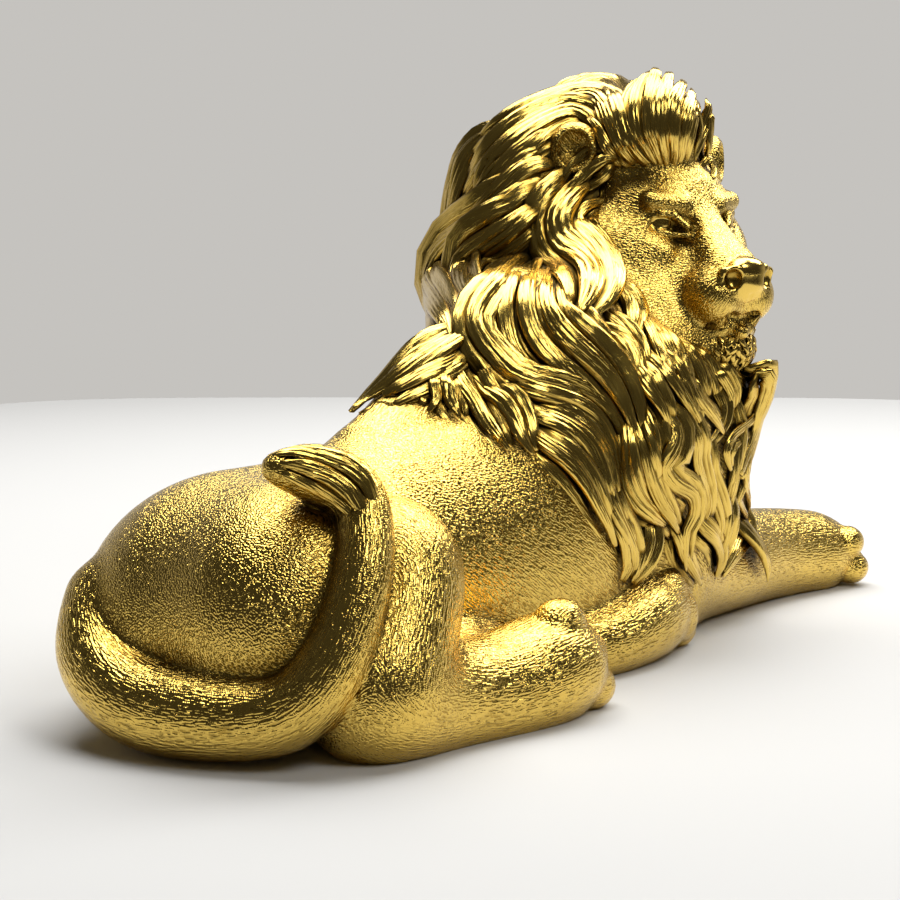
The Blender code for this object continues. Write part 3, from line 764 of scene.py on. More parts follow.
# Locks of the near side, read off the picture: x, y and width at points along each, and how high it lies
seenLocks = {
    # crown and nape
    "crownOuter": (4, [(622, 150, 5), (619, 128, 11), (616, 104, 14), (606, 88, 15), (590, 86, 16),
        (570, 96, 15), (548, 110, 12), (526, 122, 5)]),
    "crownOuterLow": (4, [(612, 150, 5), (609, 130, 11), (604, 108, 14), (590, 99, 15), (570, 103, 16),
        (544, 113, 15), (514, 129, 14), (488, 144, 12), (470, 160, 5)]),
    "crownFar": (1, [(600, 84, 8), (580, 84, 14), (562, 90, 14), (550, 98, 6)]),
    "crownMiddle": (4, [(606, 152, 5), (600, 134, 10), (589, 118, 13), (570, 113, 15), (548, 120, 16),
        (524, 135, 17), (502, 153, 17), (484, 175, 16), (470, 198, 13), (460, 220, 5)]),
    "crownBack": (3, [(500, 128, 8), (480, 143, 16), (468, 162, 20), (461, 186, 22), (456, 210, 20),
        (450, 232, 14), (446, 246, 5)]),
    "overEar": (3, [(592, 134, 8), (574, 121, 13), (552, 130, 15), (534, 142, 15), (516, 156, 15),
        (500, 175, 15), (488, 194, 13), (474, 210, 5)]),
    "behindEarHigh": (3, [(560, 146, 8), (540, 146, 13), (522, 156, 15), (508, 170, 15), (496, 188, 14),
        (482, 206, 12), (468, 222, 5)]),
    "behindEar": (3, [(562, 166, 8), (542, 164, 14), (524, 170, 16), (508, 184, 17), (494, 200, 17),
        (478, 216, 15), (462, 230, 12), (450, 240, 5)]),
    "napeBulge": (5, [(558, 186, 8), (536, 186, 16), (516, 196, 20), (498, 212, 22), (476, 226, 24),
        (454, 240, 24), (438, 258, 22), (432, 280, 20), (438, 302, 18), (446, 322, 13), (450, 338, 5)]),
    "napeUnder": (2, [(470, 236, 8), (456, 256, 16), (450, 276, 18), (454, 298, 16), (458, 316, 12),
        (462, 332, 5)]),
    "neckTop": (6, [(562, 196, 7), (542, 204, 13), (524, 218, 18), (504, 234, 22), (482, 250, 24),
        (466, 266, 22), (464, 286, 15), (472, 304, 6)]),
    "neckSecond": (5, [(552, 208, 7), (536, 226, 12), (518, 242, 15), (498, 258, 16), (480, 272, 13),
        (470, 290, 5)]),
    # cheek and ear
    "longWave": (7, [(548, 236, 6), (532, 252, 10), (516, 264, 13), (500, 280, 14), (484, 298, 14),
        (474, 318, 13), (478, 338, 14), (492, 356, 15), (510, 374, 15), (534, 384, 13), (560, 388, 10),
        (584, 396, 5)]),
    "cheekWave": (8, [(606, 170, 7), (588, 180, 13), (570, 196, 19), (558, 216, 23), (562, 238, 25),
        (578, 256, 27), (589, 276, 26), (586, 298, 16), (578, 312, 6)]),
    "cheekInner": (5, [(606, 200, 6), (590, 206, 9), (579, 218, 10), (584, 232, 9), (600, 244, 5)]),
    "templeHigh": (4, [(612, 164, 6), (594, 172, 8), (574, 184, 9), (556, 200, 8), (540, 214, 4)]),
    # side of the neck
    "underWave": (3, [(528, 262, 8), (514, 276, 12), (506, 296, 14), (505, 318, 15), (509, 340, 15),
        (520, 360, 14), (536, 374, 12), (556, 384, 6)]),
    "hollowCurl": (2, [(504, 296, 8), (490, 308, 14), (486, 324, 14), (494, 340, 12), (504, 356, 6)]),
    "bodyWaveA": (5, [(546, 246, 6), (536, 264, 10), (528, 284, 13), (525, 306, 16), (530, 328, 18),
        (543, 350, 19), (562, 368, 18), (582, 384, 16), (600, 402, 10), (608, 420, 5)]),
    "bodyWaveB": (6, [(552, 262, 6), (547, 280, 10), (545, 300, 14), (552, 322, 18), (568, 342, 20),
        (588, 360, 20), (606, 378, 18), (620, 398, 14), (630, 420, 9), (636, 440, 4)]),
    "bodyWaveC": (4, [(560, 274, 6), (562, 292, 12), (566, 312, 16), (580, 332, 15), (596, 350, 14),
        (612, 368, 12), (624, 388, 9), (632, 404, 4)]),
    # below the cheek
    "jawLeaf": (5, [(590, 330, 5), (606, 338, 12), (620, 354, 15), (627, 374, 12), (630, 394, 4)]),
    "jawSmall": (3, [(602, 284, 8), (616, 290, 14), (627, 304, 15), (630, 322, 11), (624, 340, 4)]),
    "jawDark": (3, [(600, 310, 6), (612, 322, 10), (624, 336, 11), (634, 352, 9), (640, 368, 4)]),
    # shoulder and its hem
    "chestWaveA": (6, [(484, 352, 6), (498, 372, 12), (518, 388, 16), (544, 396, 17), (570, 404, 17),
        (592, 418, 17), (606, 438, 15), (613, 462, 12), (616, 488, 6)]),
    "chestWaveB": (5, [(500, 392, 8), (518, 406, 13), (542, 418, 18), (566, 430, 20), (586, 448, 19),
        (598, 470, 16), (606, 494, 12), (618, 516, 6)]),
    "chestWaveC": (4, [(512, 412, 7), (526, 430, 12), (546, 446, 15), (566, 462, 16), (582, 482, 15),
        (594, 504, 12), (606, 526, 8), (614, 546, 4)]),
    "hemShoulderA": (4, [(470, 370, 6), (484, 390, 13), (500, 402, 16), (512, 420, 15), (520, 438, 11),
        (532, 454, 5)]),
    "hemShoulderB": (3, [(456, 362, 6), (462, 382, 14), (474, 402, 15), (484, 420, 13), (496, 436, 9),
        (508, 450, 4)]),
    "hemShoulderC": (3, [(478, 348, 6), (482, 368, 12), (490, 386, 12), (504, 402, 8), (514, 414, 4)]),
    "hemTuft": (4, [(446, 366, 5), (446, 384, 12), (450, 402, 11), (459, 418, 4)]),
    "hemTuftSmall": (3, [(438, 368, 5), (434, 384, 11), (436, 400, 8), (428, 412, 3)]),
    # withers
    "withersHigh": (4, [(462, 322, 6), (446, 336, 12), (426, 350, 14), (406, 366, 12), (386, 382, 8),
        (368, 394, 4)]),
    "withersFill": (1, [(478, 352, 6), (458, 370, 13), (436, 382, 14), (414, 394, 11), (394, 404, 5)]),
    "withersMiddle": (4, [(474, 318, 6), (462, 336, 14), (442, 350, 18), (420, 364, 17), (398, 380, 14),
        (376, 396, 10), (354, 410, 4)]),
    "withersLow": (3, [(468, 346, 6), (448, 362, 13), (426, 374, 15), (404, 386, 12), (384, 396, 5)]),
    "withersFar": (2, [(448, 316, 6), (436, 334, 12), (422, 350, 12), (404, 366, 8), (388, 380, 4)]),
    # breast
    "breastPlate": (6, [(616, 398, 7), (622, 420, 13), (624, 446, 19), (626, 474, 23), (634, 498, 22),
        (650, 514, 14), (664, 524, 5)]),
    "breastEdge": (7, [(622, 402, 5), (632, 424, 10), (640, 450, 12), (646, 476, 13), (656, 500, 12),
        (668, 518, 8), (676, 532, 4)]),
    "breastLeft": (4, [(600, 452, 6), (603, 474, 12), (607, 498, 15), (616, 520, 15), (626, 540, 13),
        (632, 560, 9), (630, 578, 4)]),
    "breastLow": (5, [(642, 508, 6), (646, 528, 11), (643, 548, 12), (636, 566, 9), (630, 582, 4)]),
    "breastHem": (3, [(604, 506, 6), (614, 526, 10), (622, 546, 10), (624, 564, 7), (620, 580, 3)]),
    "middleA": (4, [(634, 392, 6), (642, 412, 12), (650, 436, 14), (652, 460, 14), (658, 484, 13),
        (668, 506, 10), (674, 524, 4)]),
    "middleCurl": (6, [(648, 396, 5), (664, 412, 10), (676, 430, 13), (670, 450, 16), (660, 468, 15),
        (672, 484, 13), (688, 494, 12), (690, 512, 10), (682, 530, 8), (682, 552, 7), (684, 570, 3)]),
    "middleB": (4, [(670, 398, 5), (684, 416, 10), (694, 438, 12), (694, 462, 12), (700, 484, 11),
        (704, 506, 9), (700, 526, 4)]),
    "middleC": (3, [(700, 430, 5), (706, 452, 10), (704, 476, 11), (712, 500, 11), (718, 524, 10),
        (716, 548, 7), (718, 566, 3)]),
    "lowA": (4, [(664, 516, 5), (674, 532, 10), (680, 552, 10), (690, 570, 7), (700, 584, 3)]),
    "lowB": (5, [(690, 508, 5), (700, 526, 10), (712, 540, 10), (717, 558, 8), (714, 576, 3)]),
    "lowC": (4, [(728, 488, 5), (726, 510, 11), (722, 534, 11), (716, 556, 7), (718, 574, 3)]),
    # right edge of the breast
    "rightStrand": (5, [(748, 418, 5), (742, 444, 9), (740, 470, 11), (742, 496, 12), (740, 522, 11),
        (732, 546, 8), (722, 570, 3)]),
    "rightCurl": (7, [(728, 392, 7), (741, 380, 13), (754, 371, 15), (762, 378, 16), (759, 396, 16),
        (752, 414, 15), (747, 433, 13), (741, 455, 10), (737, 474, 5)]),
    # beard and throat
    "beardSweep": (6, [(682, 362, 5), (686, 382, 9), (696, 402, 9), (710, 418, 8), (722, 434, 4)]),
    "beardEdge": (7, [(728, 372, 5), (740, 388, 9), (752, 404, 9), (746, 420, 8), (730, 434, 8),
        (722, 452, 7), (728, 470, 3)]),
    "beardInner": (4, [(704, 372, 5), (712, 390, 8), (720, 408, 8), (716, 426, 6), (708, 442, 3)]),
    "throatA": (4, [(640, 342, 5), (654, 360, 12), (668, 378, 13), (682, 398, 11), (694, 418, 7),
        (702, 436, 3)]),
    "throatB": (5, [(630, 352, 5), (638, 372, 12), (648, 390, 13), (660, 408, 10), (668, 426, 4)]),
    "throatC": (3, [(662, 352, 5), (674, 372, 11), (684, 392, 11), (692, 414, 9), (698, 434, 4)]),
    # crest over the forehead
    "quiffLeftEdge": (3, [(656, 169, 4), (642, 157, 8), (631, 138, 11), (626, 116, 12), (628, 97, 12),
        (637, 85, 9), (640, 85, 2)]),
    "quiffLeft": (4, [(659, 169, 4), (649, 152, 9), (640, 132, 12), (637, 112, 13), (640, 94, 13),
        (647, 80, 9), (648, 79, 2)]),
    "quiffMiddleLeft": (5, [(663, 169, 4), (656, 150, 9), (650, 130, 12), (650, 108, 13), (653, 90, 13),
        (656, 78, 9), (656, 76, 2)]),
    "quiffMiddle": (5, [(668, 169, 4), (664, 150, 9), (661, 130, 12), (661, 108, 13), (664, 92, 13),
        (667, 82, 9), (668, 80, 2)]),
    "quiffMiddleRight": (5, [(674, 169, 4), (673, 150, 9), (672, 130, 12), (672, 108, 13), (675, 98, 13),
        (679, 90, 9), (681, 88, 2)]),
    "quiffRight": (4, [(680, 167, 4), (681, 150, 9), (682, 130, 12), (684, 116, 13), (687, 104, 11),
        (689, 97, 8), (690, 96, 2)]),
    "quiffRightEdge": (3, [(686, 164, 4), (688, 148, 8), (690, 130, 10), (692, 118, 11), (694, 108, 9),
        (694, 106, 2)]),
    "quiffFar": (2, [(694, 163, 4), (697, 146, 9), (701, 130, 12), (704, 116, 12), (707, 107, 8),
        (705, 105, 2)]),
    "quiffFarEdge": (1, [(703, 162, 4), (708, 150, 8), (708, 136, 10), (709, 122, 8), (710, 117, 2)]),
    # sides of the forehead
    "browLeft": (4, [(652, 168, 5), (640, 157, 10), (630, 141, 13), (623, 121, 14), (617, 102, 14),
        (606, 88, 12), (590, 80, 5)]),
    "browLeftLow": (4, [(638, 166, 5), (627, 155, 10), (618, 141, 12), (611, 124, 13), (604, 106, 12),
        (590, 94, 5)]),
    "earFringe": (5, [(622, 161, 4), (611, 153, 9), (604, 140, 9), (598, 128, 8), (588, 118, 4)]),
    "earWisp": (7, [(624, 159, 4), (608, 158, 8), (594, 166, 10), (580, 177, 9), (566, 190, 4)]),
    # below the jaw
    "jawFallA": (4, [(640, 306, 5), (646, 324, 10), (654, 344, 12), (664, 364, 11), (672, 386, 5)]),
    "jawFallB": (5, [(652, 320, 5), (660, 335, 9), (668, 352, 11), (677, 371, 10), (686, 392, 5)]),
    "jawFallC": (5, [(668, 334, 5), (678, 347, 9), (688, 361, 10), (697, 378, 10), (704, 398, 5)]),
    "jawFallD": (4, [(684, 344, 5), (694, 356, 8), (704, 368, 9), (711, 383, 9), (716, 402, 5)]),
    "chinFall": (5, [(708, 362, 5), (718, 376, 9), (727, 392, 9), (730, 412, 5)]),
    "chinFallRight": (5, [(730, 366, 5), (739, 381, 8), (742, 398, 8), (738, 416, 5)]),
    # fillings behind the right edge
    "rightFillLow": (1, [(724, 384, 8), (732, 404, 16), (737, 430, 17), (735, 458, 17), (731, 486, 14),
        (727, 512, 7)]),
    "rightFill": (2, [(734, 374, 8), (744, 393, 14), (748, 414, 15), (746, 438, 14), (742, 464, 14),
        (739, 488, 12), (732, 512, 6)]),
    # tuft of the tail
    "tailTuftHigh": (1, [(376, 508, 8), (365, 482, 15), (343, 464, 17), (316, 456, 14), (292, 453, 9),
        (272, 455, 4)]),
    "tailTuftMiddle": (1, [(366, 516, 8), (350, 492, 15), (328, 476, 15), (304, 467, 12), (280, 463, 4)]),
    "tailTuftLow": (0, [(356, 520, 6), (338, 501, 12), (317, 488, 12), (296, 478, 9), (278, 471, 4)]),
    # beyond the forehead
    "browFar": (2, [(700, 168, 4), (707, 160, 8), (711, 166, 9), (713, 178, 4)]),
}


def onPicture(pixels, surface):
    # How far each sight line runs to the surface, or to its nearest passing, and where it points
    aside, down = (pixels - camera["picture"] / 2).T
    ways = unitRows(lookAlong * focal + lookRight * aside[:, None] - lookUp * down[:, None])
    depths = np.arange(*camera["sightLine"])
    samples = cameraPlace + ways[:, None] * depths[None, :, None]
    deep = distance(surface, samples.reshape(-1, 3), camera["sightMargin"]).reshape(len(pixels), -1)
    inside = deep < 0
    first = np.where(inside.any(1), inside.argmax(1), deep.argmin(1))
    before = np.maximum(first - 1, 0)
    rows = np.arange(len(pixels))
    drop = deep[rows, before] - deep[rows, first]
    least = 1e-6
    share = np.where(inside.any(1) & (drop > least), deep[rows, before] / np.maximum(drop, least), 1.0)
    depth = depths[before] + np.clip(share, 0, 1) * (depths[first] - depths[before])
    return depth, ways


filling = {"firstNumber": 200, "aside": (0.55, 0.2, 2), "sunk": 1.7, "width": (0.8, 1)}


def fillingLocks(points, outs, widths, number):
    locks = []  # lower locks that run along both sides of one
    side = np.cross(outs, unitRows(np.gradient(points, axis=0)))
    least, more, gap = filling["aside"]
    widthShare, widthMore = filling["width"]
    for i, way in enumerate((-1, 1)):
        own = filling["firstNumber"] + 2 * number + i
        reach = least + more * ownShare(own)
        moved = points + side * (way * reach * (widths + gap))[:, None] - outs * filling["sunk"]
        locks.append((moved, outs, widths * widthShare + widthMore, own, lockLook["filling"]))
    return locks


lay = {
    "lift": (0.4, 0.55),  # at level 0, and more for each level
    "rootSunk": (1.5, 5),  # depth and how soon it ends
    "tipSunk": 1.2,
    "rootSpan": 3,
    "tipSpan": 6,
    "evening": 2,
    "outRounds": 3,
    "outMargin": 15,
    "landing": (12, 8, 40),  # rounds, longest step and margin for locks laid from afar
    "farLevel": 3,
    "farNumber": 400,
    "fillAbove": 2,  # locks that lie higher have lower ones beside them
    "facingLeast": 0.1,  # cosine from which a lock counts as turned to the camera
}
roll = {  # how the crest goes over the crown
    "back": (6, 15),
    "up": (0.8, -2.5),
    "widths": (0.95, 0.85, 0.75, 0.3),
}


def liftedLock(points, outs, widths, level, number, fineness, way=None):
    share = np.linspace(0, 1, len(points))
    lowest, more = lay["lift"]
    sunk, sharpness = lay["rootSunk"]
    rise = (lowest + more * level) * np.clip(share * lay["rootSpan"], 0, 1) - sunk * (1 - share)**sharpness
    rise -= lay["tipSunk"] * np.clip(share * lay["tipSpan"] - lay["tipSpan"] + 1, 0, 1)
    push = outs if way is None else (outs - way) * 0.5
    return points + push * rise[:, None], outs, widths, number, fineness


def evenedOuts(outs):
    for _ in range(lay["evening"]):
        outs[1:-1] = outs[:-2] + 2 * outs[1:-1] + outs[2:]
        outs = unitRows(outs)
    return outs


def rolledOver(points, outs, widths, ways):
    (near, far), (up, down) = roll["back"], roll["up"]
    tip = points[-1]
    points = np.vstack([points, tip + ways[-1] * near + (0, 0, up), tip + ways[-1] * far + (0, 0, down)])
    first, second, third, last = roll["widths"]
    widths[-2:] = widths[-3] * np.array((first, second))
    widths = np.append(widths, (widths[-1] * third, widths[-1] * last))
    outs = np.vstack([outs, outs[-1], outs[-1] + ways[-1]])
    return points, outs, widths, np.vstack([ways, ways[-1], ways[-1]])


def picturedLocks(surface):
    near = []
    far = []
    for number, (name, (level, rows)) in enumerate(seenLocks.items()):
        isCrest = name.startswith("quiff")
        rows = smoothCurve(rows, 2)
        depth, ways = onPicture(rows[:, :2], surface)
        for _ in range(lay["evening"]):
            depth[1:-1] = (depth[:-2] + 2 * depth[1:-1] + depth[2:]) / 4
        points = cameraPlace + ways * depth[:, None]
        outs = settle(surface, points, lay["outRounds"], margin=lay["outMargin"])[1]
        outs = unitRows(outs - ways * lockLook["facing"])
        widths = rows[:, 2] * lockLook["seenWidth"] * depth / focal
        if isCrest:
            points, outs, widths, ways = rolledOver(points, outs, widths, ways)
        lock = liftedLock(points, evenedOuts(outs), widths, level, number, lockLook["seen"], ways)
        near.append(lock)
        if level > lay["fillAbove"] and not isCrest:
            near += fillingLocks(*lock[:4])
        if points[:, 2].mean() > collar["mirrorAbove"]:
            far += mirroredLocks(surface, points, widths, level, number)
    return near, far


rightOutline = {  # picture heights and how far right the figure reaches there
    "heights": (95, 113, 152, 170, 186, 198, 224, 248, 285, 305, 323, 345, 360, 520),
    "edges": (693, 708, 710, 713, 718, 730, 737, 744, 760, 760, 748, 745, 750, 742),
    "widths": 1.5,  # how far a lock is kept from that edge, in its own widths
    "freeBelow": 60,
}


def inPicture(points):
    away = points - cameraPlace
    depth = away @ lookAlong
    middle = camera["picture"] / 2
    return middle + focal * (away @ lookRight) / depth, middle - focal * (away @ lookUp) / depth


def whole(lock):
    across, down = inPicture(lock[0])
    edges = np.interp(down, rightOutline["heights"], rightOutline["edges"])
    isWithin = (across + lock[2] * rightOutline["widths"] < edges).all()
    isLow = lock[0][:, 2].mean() < rightOutline["freeBelow"]
    longest = np.linalg.norm(np.diff(lock[0], axis=0), axis=1).max()
    return (isWithin or isLow) and longest < lockLook["longestStep"]


def laidOn(surface, points):
    rounds, longest, margin = lay["landing"]
    return settle(surface, points, rounds, longest, margin)


def isTurnedToCamera(point, out):
    sight = cameraPlace - point
    return out @ sight > lay["facingLeast"] * np.linalg.norm(sight)


def mirroredLocks(surface, points, widths, level, number):
    flipped = (points - faceCentre) @ faceAxes * (1, -1, 1)  # the head's other side wears the same locks
    points, outs = laidOn(surface, faceCentre + flipped @ faceAxes.T)
    outs = evenedOuts(outs)
    middle = len(points) // 2
    if isTurnedToCamera(points[middle], outs[middle]):
        return []
    level = min(level, lay["farLevel"])
    lock = liftedLock(points, outs, widths, level, lay["farNumber"] + number, lockLook["combed"])
    return [lock] + (fillingLocks(*lock[:4]) if level > lay["fillAbove"] else [])


# The other locks follow combed guides over the mane: each has its place and the way the hair runs there

combGuides = np.array([
    ((50, 34, 158), (-0.3, 1.0, -0.3)), ((22, 8, 158), (-0.7, 0.7, -0.15)),
    ((0, 30, 150), (-0.6, 0.6, -0.7)), ((-4, 44, 128), (0.0, 0.1, -1.0)),
    ((4, -16, 132), (-0.7, 0.6, -0.35)), ((-12, 10, 126), (-0.5, 0.5, -0.8)),
    ((-16, 30, 104), (-0.1, 0.1, -1.0)), ((2, -22, 108), (-0.1, -0.1, -1.0)),
    ((0, -26, 90), (0.35, -0.45, -0.85)), ((18, -34, 76), (0.5, -0.45, -0.75)),
    ((30, -36, 60), (0.3, -0.2, -1.0)), ((44, -32, 36), (0.15, 0.0, -1.0)),
    ((26, -34, 104), (0.1, -0.2, -1.0)), ((66, -30, 74), (0.1, 0.1, -1.0)),
    ((-34, -6, 96), (-0.8, 0.1, -0.5)), ((-50, 10, 84), (-1.0, 0.1, -0.3)),
    ((-40, -24, 74), (-0.4, -0.4, -0.85)), ((-10, -34, 60), (0.35, -0.25, -0.9)),
    ((66, 40, 118), (0.1, 0.4, -1.0)), ((20, 50, 90), (-0.4, 0.2, -0.9)),
    ((-30, 34, 78), (-0.8, 0.3, -0.5)), ((78, 22, 60), (0.05, 0.0, -1.0)),
    ((84, 0, 134), (0.3, 0.6, -0.7)), ((98, 22, 116), (0.1, 0.5, -1.0)),
    ((88, 44, 122), (-0.2, 0.4, -0.9)), ((80, 12, 150), (0.5, 0.7, -0.4)),
    ((88, 32, 92), (0.0, 0.1, -1.0)), ((62, 52, 130), (-0.3, 0.5, -0.8)),
], float)


def combed(points):
    apart = ((points[:, None, :] - combGuides[None, :, 0, :])**2).sum(2)
    return unitRows((1 / (apart + collar["guideBlend"])**2) @ combGuides[:, 1, :])


collar = {  # its hem is given by heights at angles from the head's way, counted towards the lion's right
    "hemAngles": (-150, -110, -75, -40, 0, 28, 40, 52, 62, 75, 100, 150, 185, 215),
    "hemHeights": (48, 32, 20, 14, 14, 20, 30, 44, 58, 72, 82, 84, 70, 50),
    "top": 116.0,
    "walk": (75.0, 2.0, 60),  # start, longest step and count of steps inwards
    "walkReach": 5.0,
    "axisHigh": (32.0, 10.0),
    "axisLow": (42.0, 0.0),
    "lean": (100, 80),  # the axis leans below the first height, wholly after the second
    "wave": 3.6,
    "waveLength": 44.0,
    "wavePhase": (0.05, 0.04, 0.06),
    "waveChance": 1.6,
    "widths": (0.85, 0.3),  # the least share, and what the lock's own share adds
    "swell": (0.15, 0.7),  # where the width starts on its arch, and how full the arch is
    "riseStart": 0.3,
    "unevenLift": 2.4,
    "rootSunk": (3.0, 4),
    "steps": 12,
    "felt": 4,  # the step at which a lock is looked at before it is kept
    "firstNumber": 100,
    "guideBlend": 60.0,
    "mirrorAbove": 92.0,
    "bareReach": 8.0,  # a combed lock grows only where no other lies this near
}


def walkedIn(surface, points, out):
    start, step, count = collar["walk"]
    points = points + out * start
    for _ in range(count):
        points -= out * np.clip(distance(surface, points), 0, step)[:, None]
    return points[np.abs(distance(surface, points)) < collar["walkReach"]]


def ringSeeds(surface, ahead, widest, count):
    angles = np.radians(np.linspace(-widest, widest, count))
    out = np.stack([np.zeros(count), np.sin(angles), np.cos(angles)], 1) @ faceAxes.T
    return walkedIn(surface, inFace((ahead, 0, 0)), out)


def collarSeeds(surface, aboveHem, first, last, spacing):
    angles = np.linspace(first, last, int((last - first) / spacing) + 1)
    heights = np.interp(angles, collar["hemAngles"], collar["hemHeights"]) + aboveHem
    angles = angles[heights < collar["top"]]
    heights = heights[heights < collar["top"]]
    turns = np.radians(angles)
    out = np.stack([np.cos(turns), -np.sin(turns), np.zeros(len(turns))], 1) @ headAxes.T
    leanTop, leanSpan = collar["lean"]
    lean = np.clip((leanTop - heights) / leanSpan, 0, 1)[:, None]
    axis = np.array(collar["axisHigh"]) * (1 - lean) + np.array(collar["axisLow"]) * lean
    return walkedIn(surface, np.hstack([axis, heights[:, None]]), out)


def combedRows(surface):
    return [  # seeds, length, width, lift, from the lowest row up
        (collarSeeds(surface, 8, 74, 195, 12), 48, 9, 1.0),
        (collarSeeds(surface, 16, -145, 62, 13), 34, 9, 1.0),
        (collarSeeds(surface, 20, 72, 205, 13), 52, 10.5, 1.6),
        (collarSeeds(surface, 34, -140, 205, 13), 46, 10.5, 2.0),
        (collarSeeds(surface, 50, -146, 92, 13), 48, 11, 2.2),
        (collarSeeds(surface, 66, -140, 70, 13), 50, 11, 2.4),
        (collarSeeds(surface, 80, -140, 60, 13), 50, 11, 2.6),
        (ringSeeds(surface, -40, 135, 13), 50, 11, 2.0),
        (ringSeeds(surface, -32, 135, 16), 54, 11.5, 2.4),
        (ringSeeds(surface, -22, 135, 17), 54, 11.5, 2.8),
        (ringSeeds(surface, -12, 125, 17), 52, 11.5, 3.2),
        (ringSeeds(surface, -2, 120, 14), 42, 10, 3.6),
    ]


def combedTrack(surface, seeds, length):
    points, out = laidOn(surface, seeds)
    track = [points]
    outs = [out]
    for _ in range(collar["steps"]):
        run = combed(points)
        run = unitRows(run - (run * out).sum(1, keepdims=True) * out)
        points, out = settle(surface, points + run * length / collar["steps"], 2)
        track.append(points)
        outs.append(out)
    return np.array(track), np.array(outs)


def combedLocks(surface, others):
    locks = []
    worn = np.vstack([lock[0] for lock in others])
    for row, (seeds, length, width, lift) in enumerate(combedRows(surface)):
        track, outs = combedTrack(surface, seeds, length)
        for i in range(len(seeds)):
            middle = track[collar["felt"], i]
            isSeen = isTurnedToCamera(middle, outs[collar["felt"], i]) and middle[2] > collar["mirrorAbove"]
            if isSeen or np.linalg.norm(worn - middle, axis=1).min() < collar["bareReach"]:
                continue
            number = collar["firstNumber"] + row * 31 + i
            locks.append(wavedLock(track[:, i], outs[:, i], number, length, width, lift))
    return locks


def wavedLock(track, outs, number, length, width, lift):
    share = np.linspace(0, 1, len(track))
    side = np.cross(outs, unitRows(np.gradient(track, axis=0)))
    chance = ownShare(number)
    phase = track[0] @ np.array(collar["wavePhase"]) + collar["waveChance"] * chance
    sway = collar["wave"] * np.sin(2 * math.pi * share * length / collar["waveLength"] + phase) * share**0.5
    sunk, sharpness = collar["rootSunk"]
    start = collar["riseStart"]
    rise = (lift + collar["unevenLift"] * (chance - 0.5)) * (start + (1 - start) * share)
    rise = rise - sunk * (1 - share)**sharpness
    least, more = collar["widths"]
    begin, fullness = collar["swell"]
    arch = np.sin(math.pi * np.clip(begin + (1 - begin) * share, 0, 1))
    breadth = width * (least + more * chance) * arch**fullness
    points = track + side * sway[:, None] + outs * rise[:, None]
    return points, outs, np.maximum(breadth, 1.0), number, lockLook["combed"]


chinCurls = {
    "rows": (26.0, 12.0, -2.0, -16.0, -30.0),  # degrees up from the middle of the chin
    "each": 19,
    "reach": 105,
    "shift": 7,  # every other row stands this much aside
    "length": 30.0,
    "sway": (5, 5, 1.9),
    "lift": (1.01, 0.03),
    "width": 1.7,
    "widths": (0.5, 0.9, 1.1, 1.1, 0.8, 0.25),
    "firstNumber": 800,
}


def chinLocks():
    locks = []  # short curls down the front of the chin
    look = chinCurls
    centre = np.array(chin["centre"])
    radii = np.array(chin["radii"])
    fall = np.linspace(0, 1, len(look["widths"]))
    swayAngle, swayTurns, swayOwn = look["sway"]
    least, more = look["lift"]
    for row, height in enumerate(look["rows"]):
        for i, angle in enumerate(np.linspace(-look["reach"], look["reach"], look["each"])):
            number = look["firstNumber"] + row * 20 + i
            sway = swayAngle * np.sin(fall * swayTurns + swayOwn * number)
            around = np.radians(angle + look["shift"] * (row % 2) + sway)
            down = np.radians(height - look["length"] * fall)
            outs = np.stack([np.cos(down) * np.cos(around), np.cos(down) * np.sin(around), np.sin(down)], 1)
            points = centre + radii * outs * (least + more * np.sin(math.pi * fall))[:, None]
            widths = look["width"] * np.array(look["widths"])
            points = faceCentre + points @ faceAxes.T
            locks.append((points, outs @ faceAxes.T, widths, number, lockLook["small"]))
    return locks


def lockObject(name, locks):
    parts = [lockShell(*lock) for lock in locks]
    starts = np.cumsum([0] + [len(shell[0]) for shell in parts])
    points = np.vstack([shell[0] for shell in parts])
    points[:, 2] = np.maximum(points[:, 2], 1.0)  # clear of the ground
    faces = []
    for k in (1, 2):
        faces += np.vstack([shell[k] + start for shell, start in zip(parts, starts)]).tolist()
    mesh = bpy.data.meshes.new(name)
    mesh.from_pydata(points.tolist(), [], faces)
    addVectors(mesh, "hairRun", np.vstack([shell[3] for shell in parts]))
    addValues(mesh, "strand", np.concatenate([shell[4] for shell in parts]))
    piece = bpy.data.objects.new(name, mesh)
    bpy.context.scene.collection.objects.link(piece)
    print(name + ":", len(locks), "locks")
    return piece


def makeMane():
    surface = (trunkForms() + limbForms() + tailForms() + maneForms() + faceForms(), [], [])
    near, far = picturedLocks(surface)
    far = [lock for lock in far if whole(lock)]
    far += [lock for lock in combedLocks(surface, near + far) if whole(lock)]
    return lockObject("maneNear", near + chinLocks()), lockObject("maneFar", far)


# Painted shade gathers in hollows: each point keeps the share of its sight lines that meet the figure close
# by

hollows = {"rays": 12, "reach": 9.0, "start": 0.15, "widest": 0.9, "turn": 2.399963}


def openWays():
    ways = []
    for i in range(hollows["rays"]):
        height = 1 - hollows["widest"] * (i + 0.5) / hollows["rays"]
        angle = i * hollows["turn"]
        flat = math.sqrt(1 - height**2)
        ways.append(Vector((flat * math.cos(angle), flat * math.sin(angle), height)))
    return ways


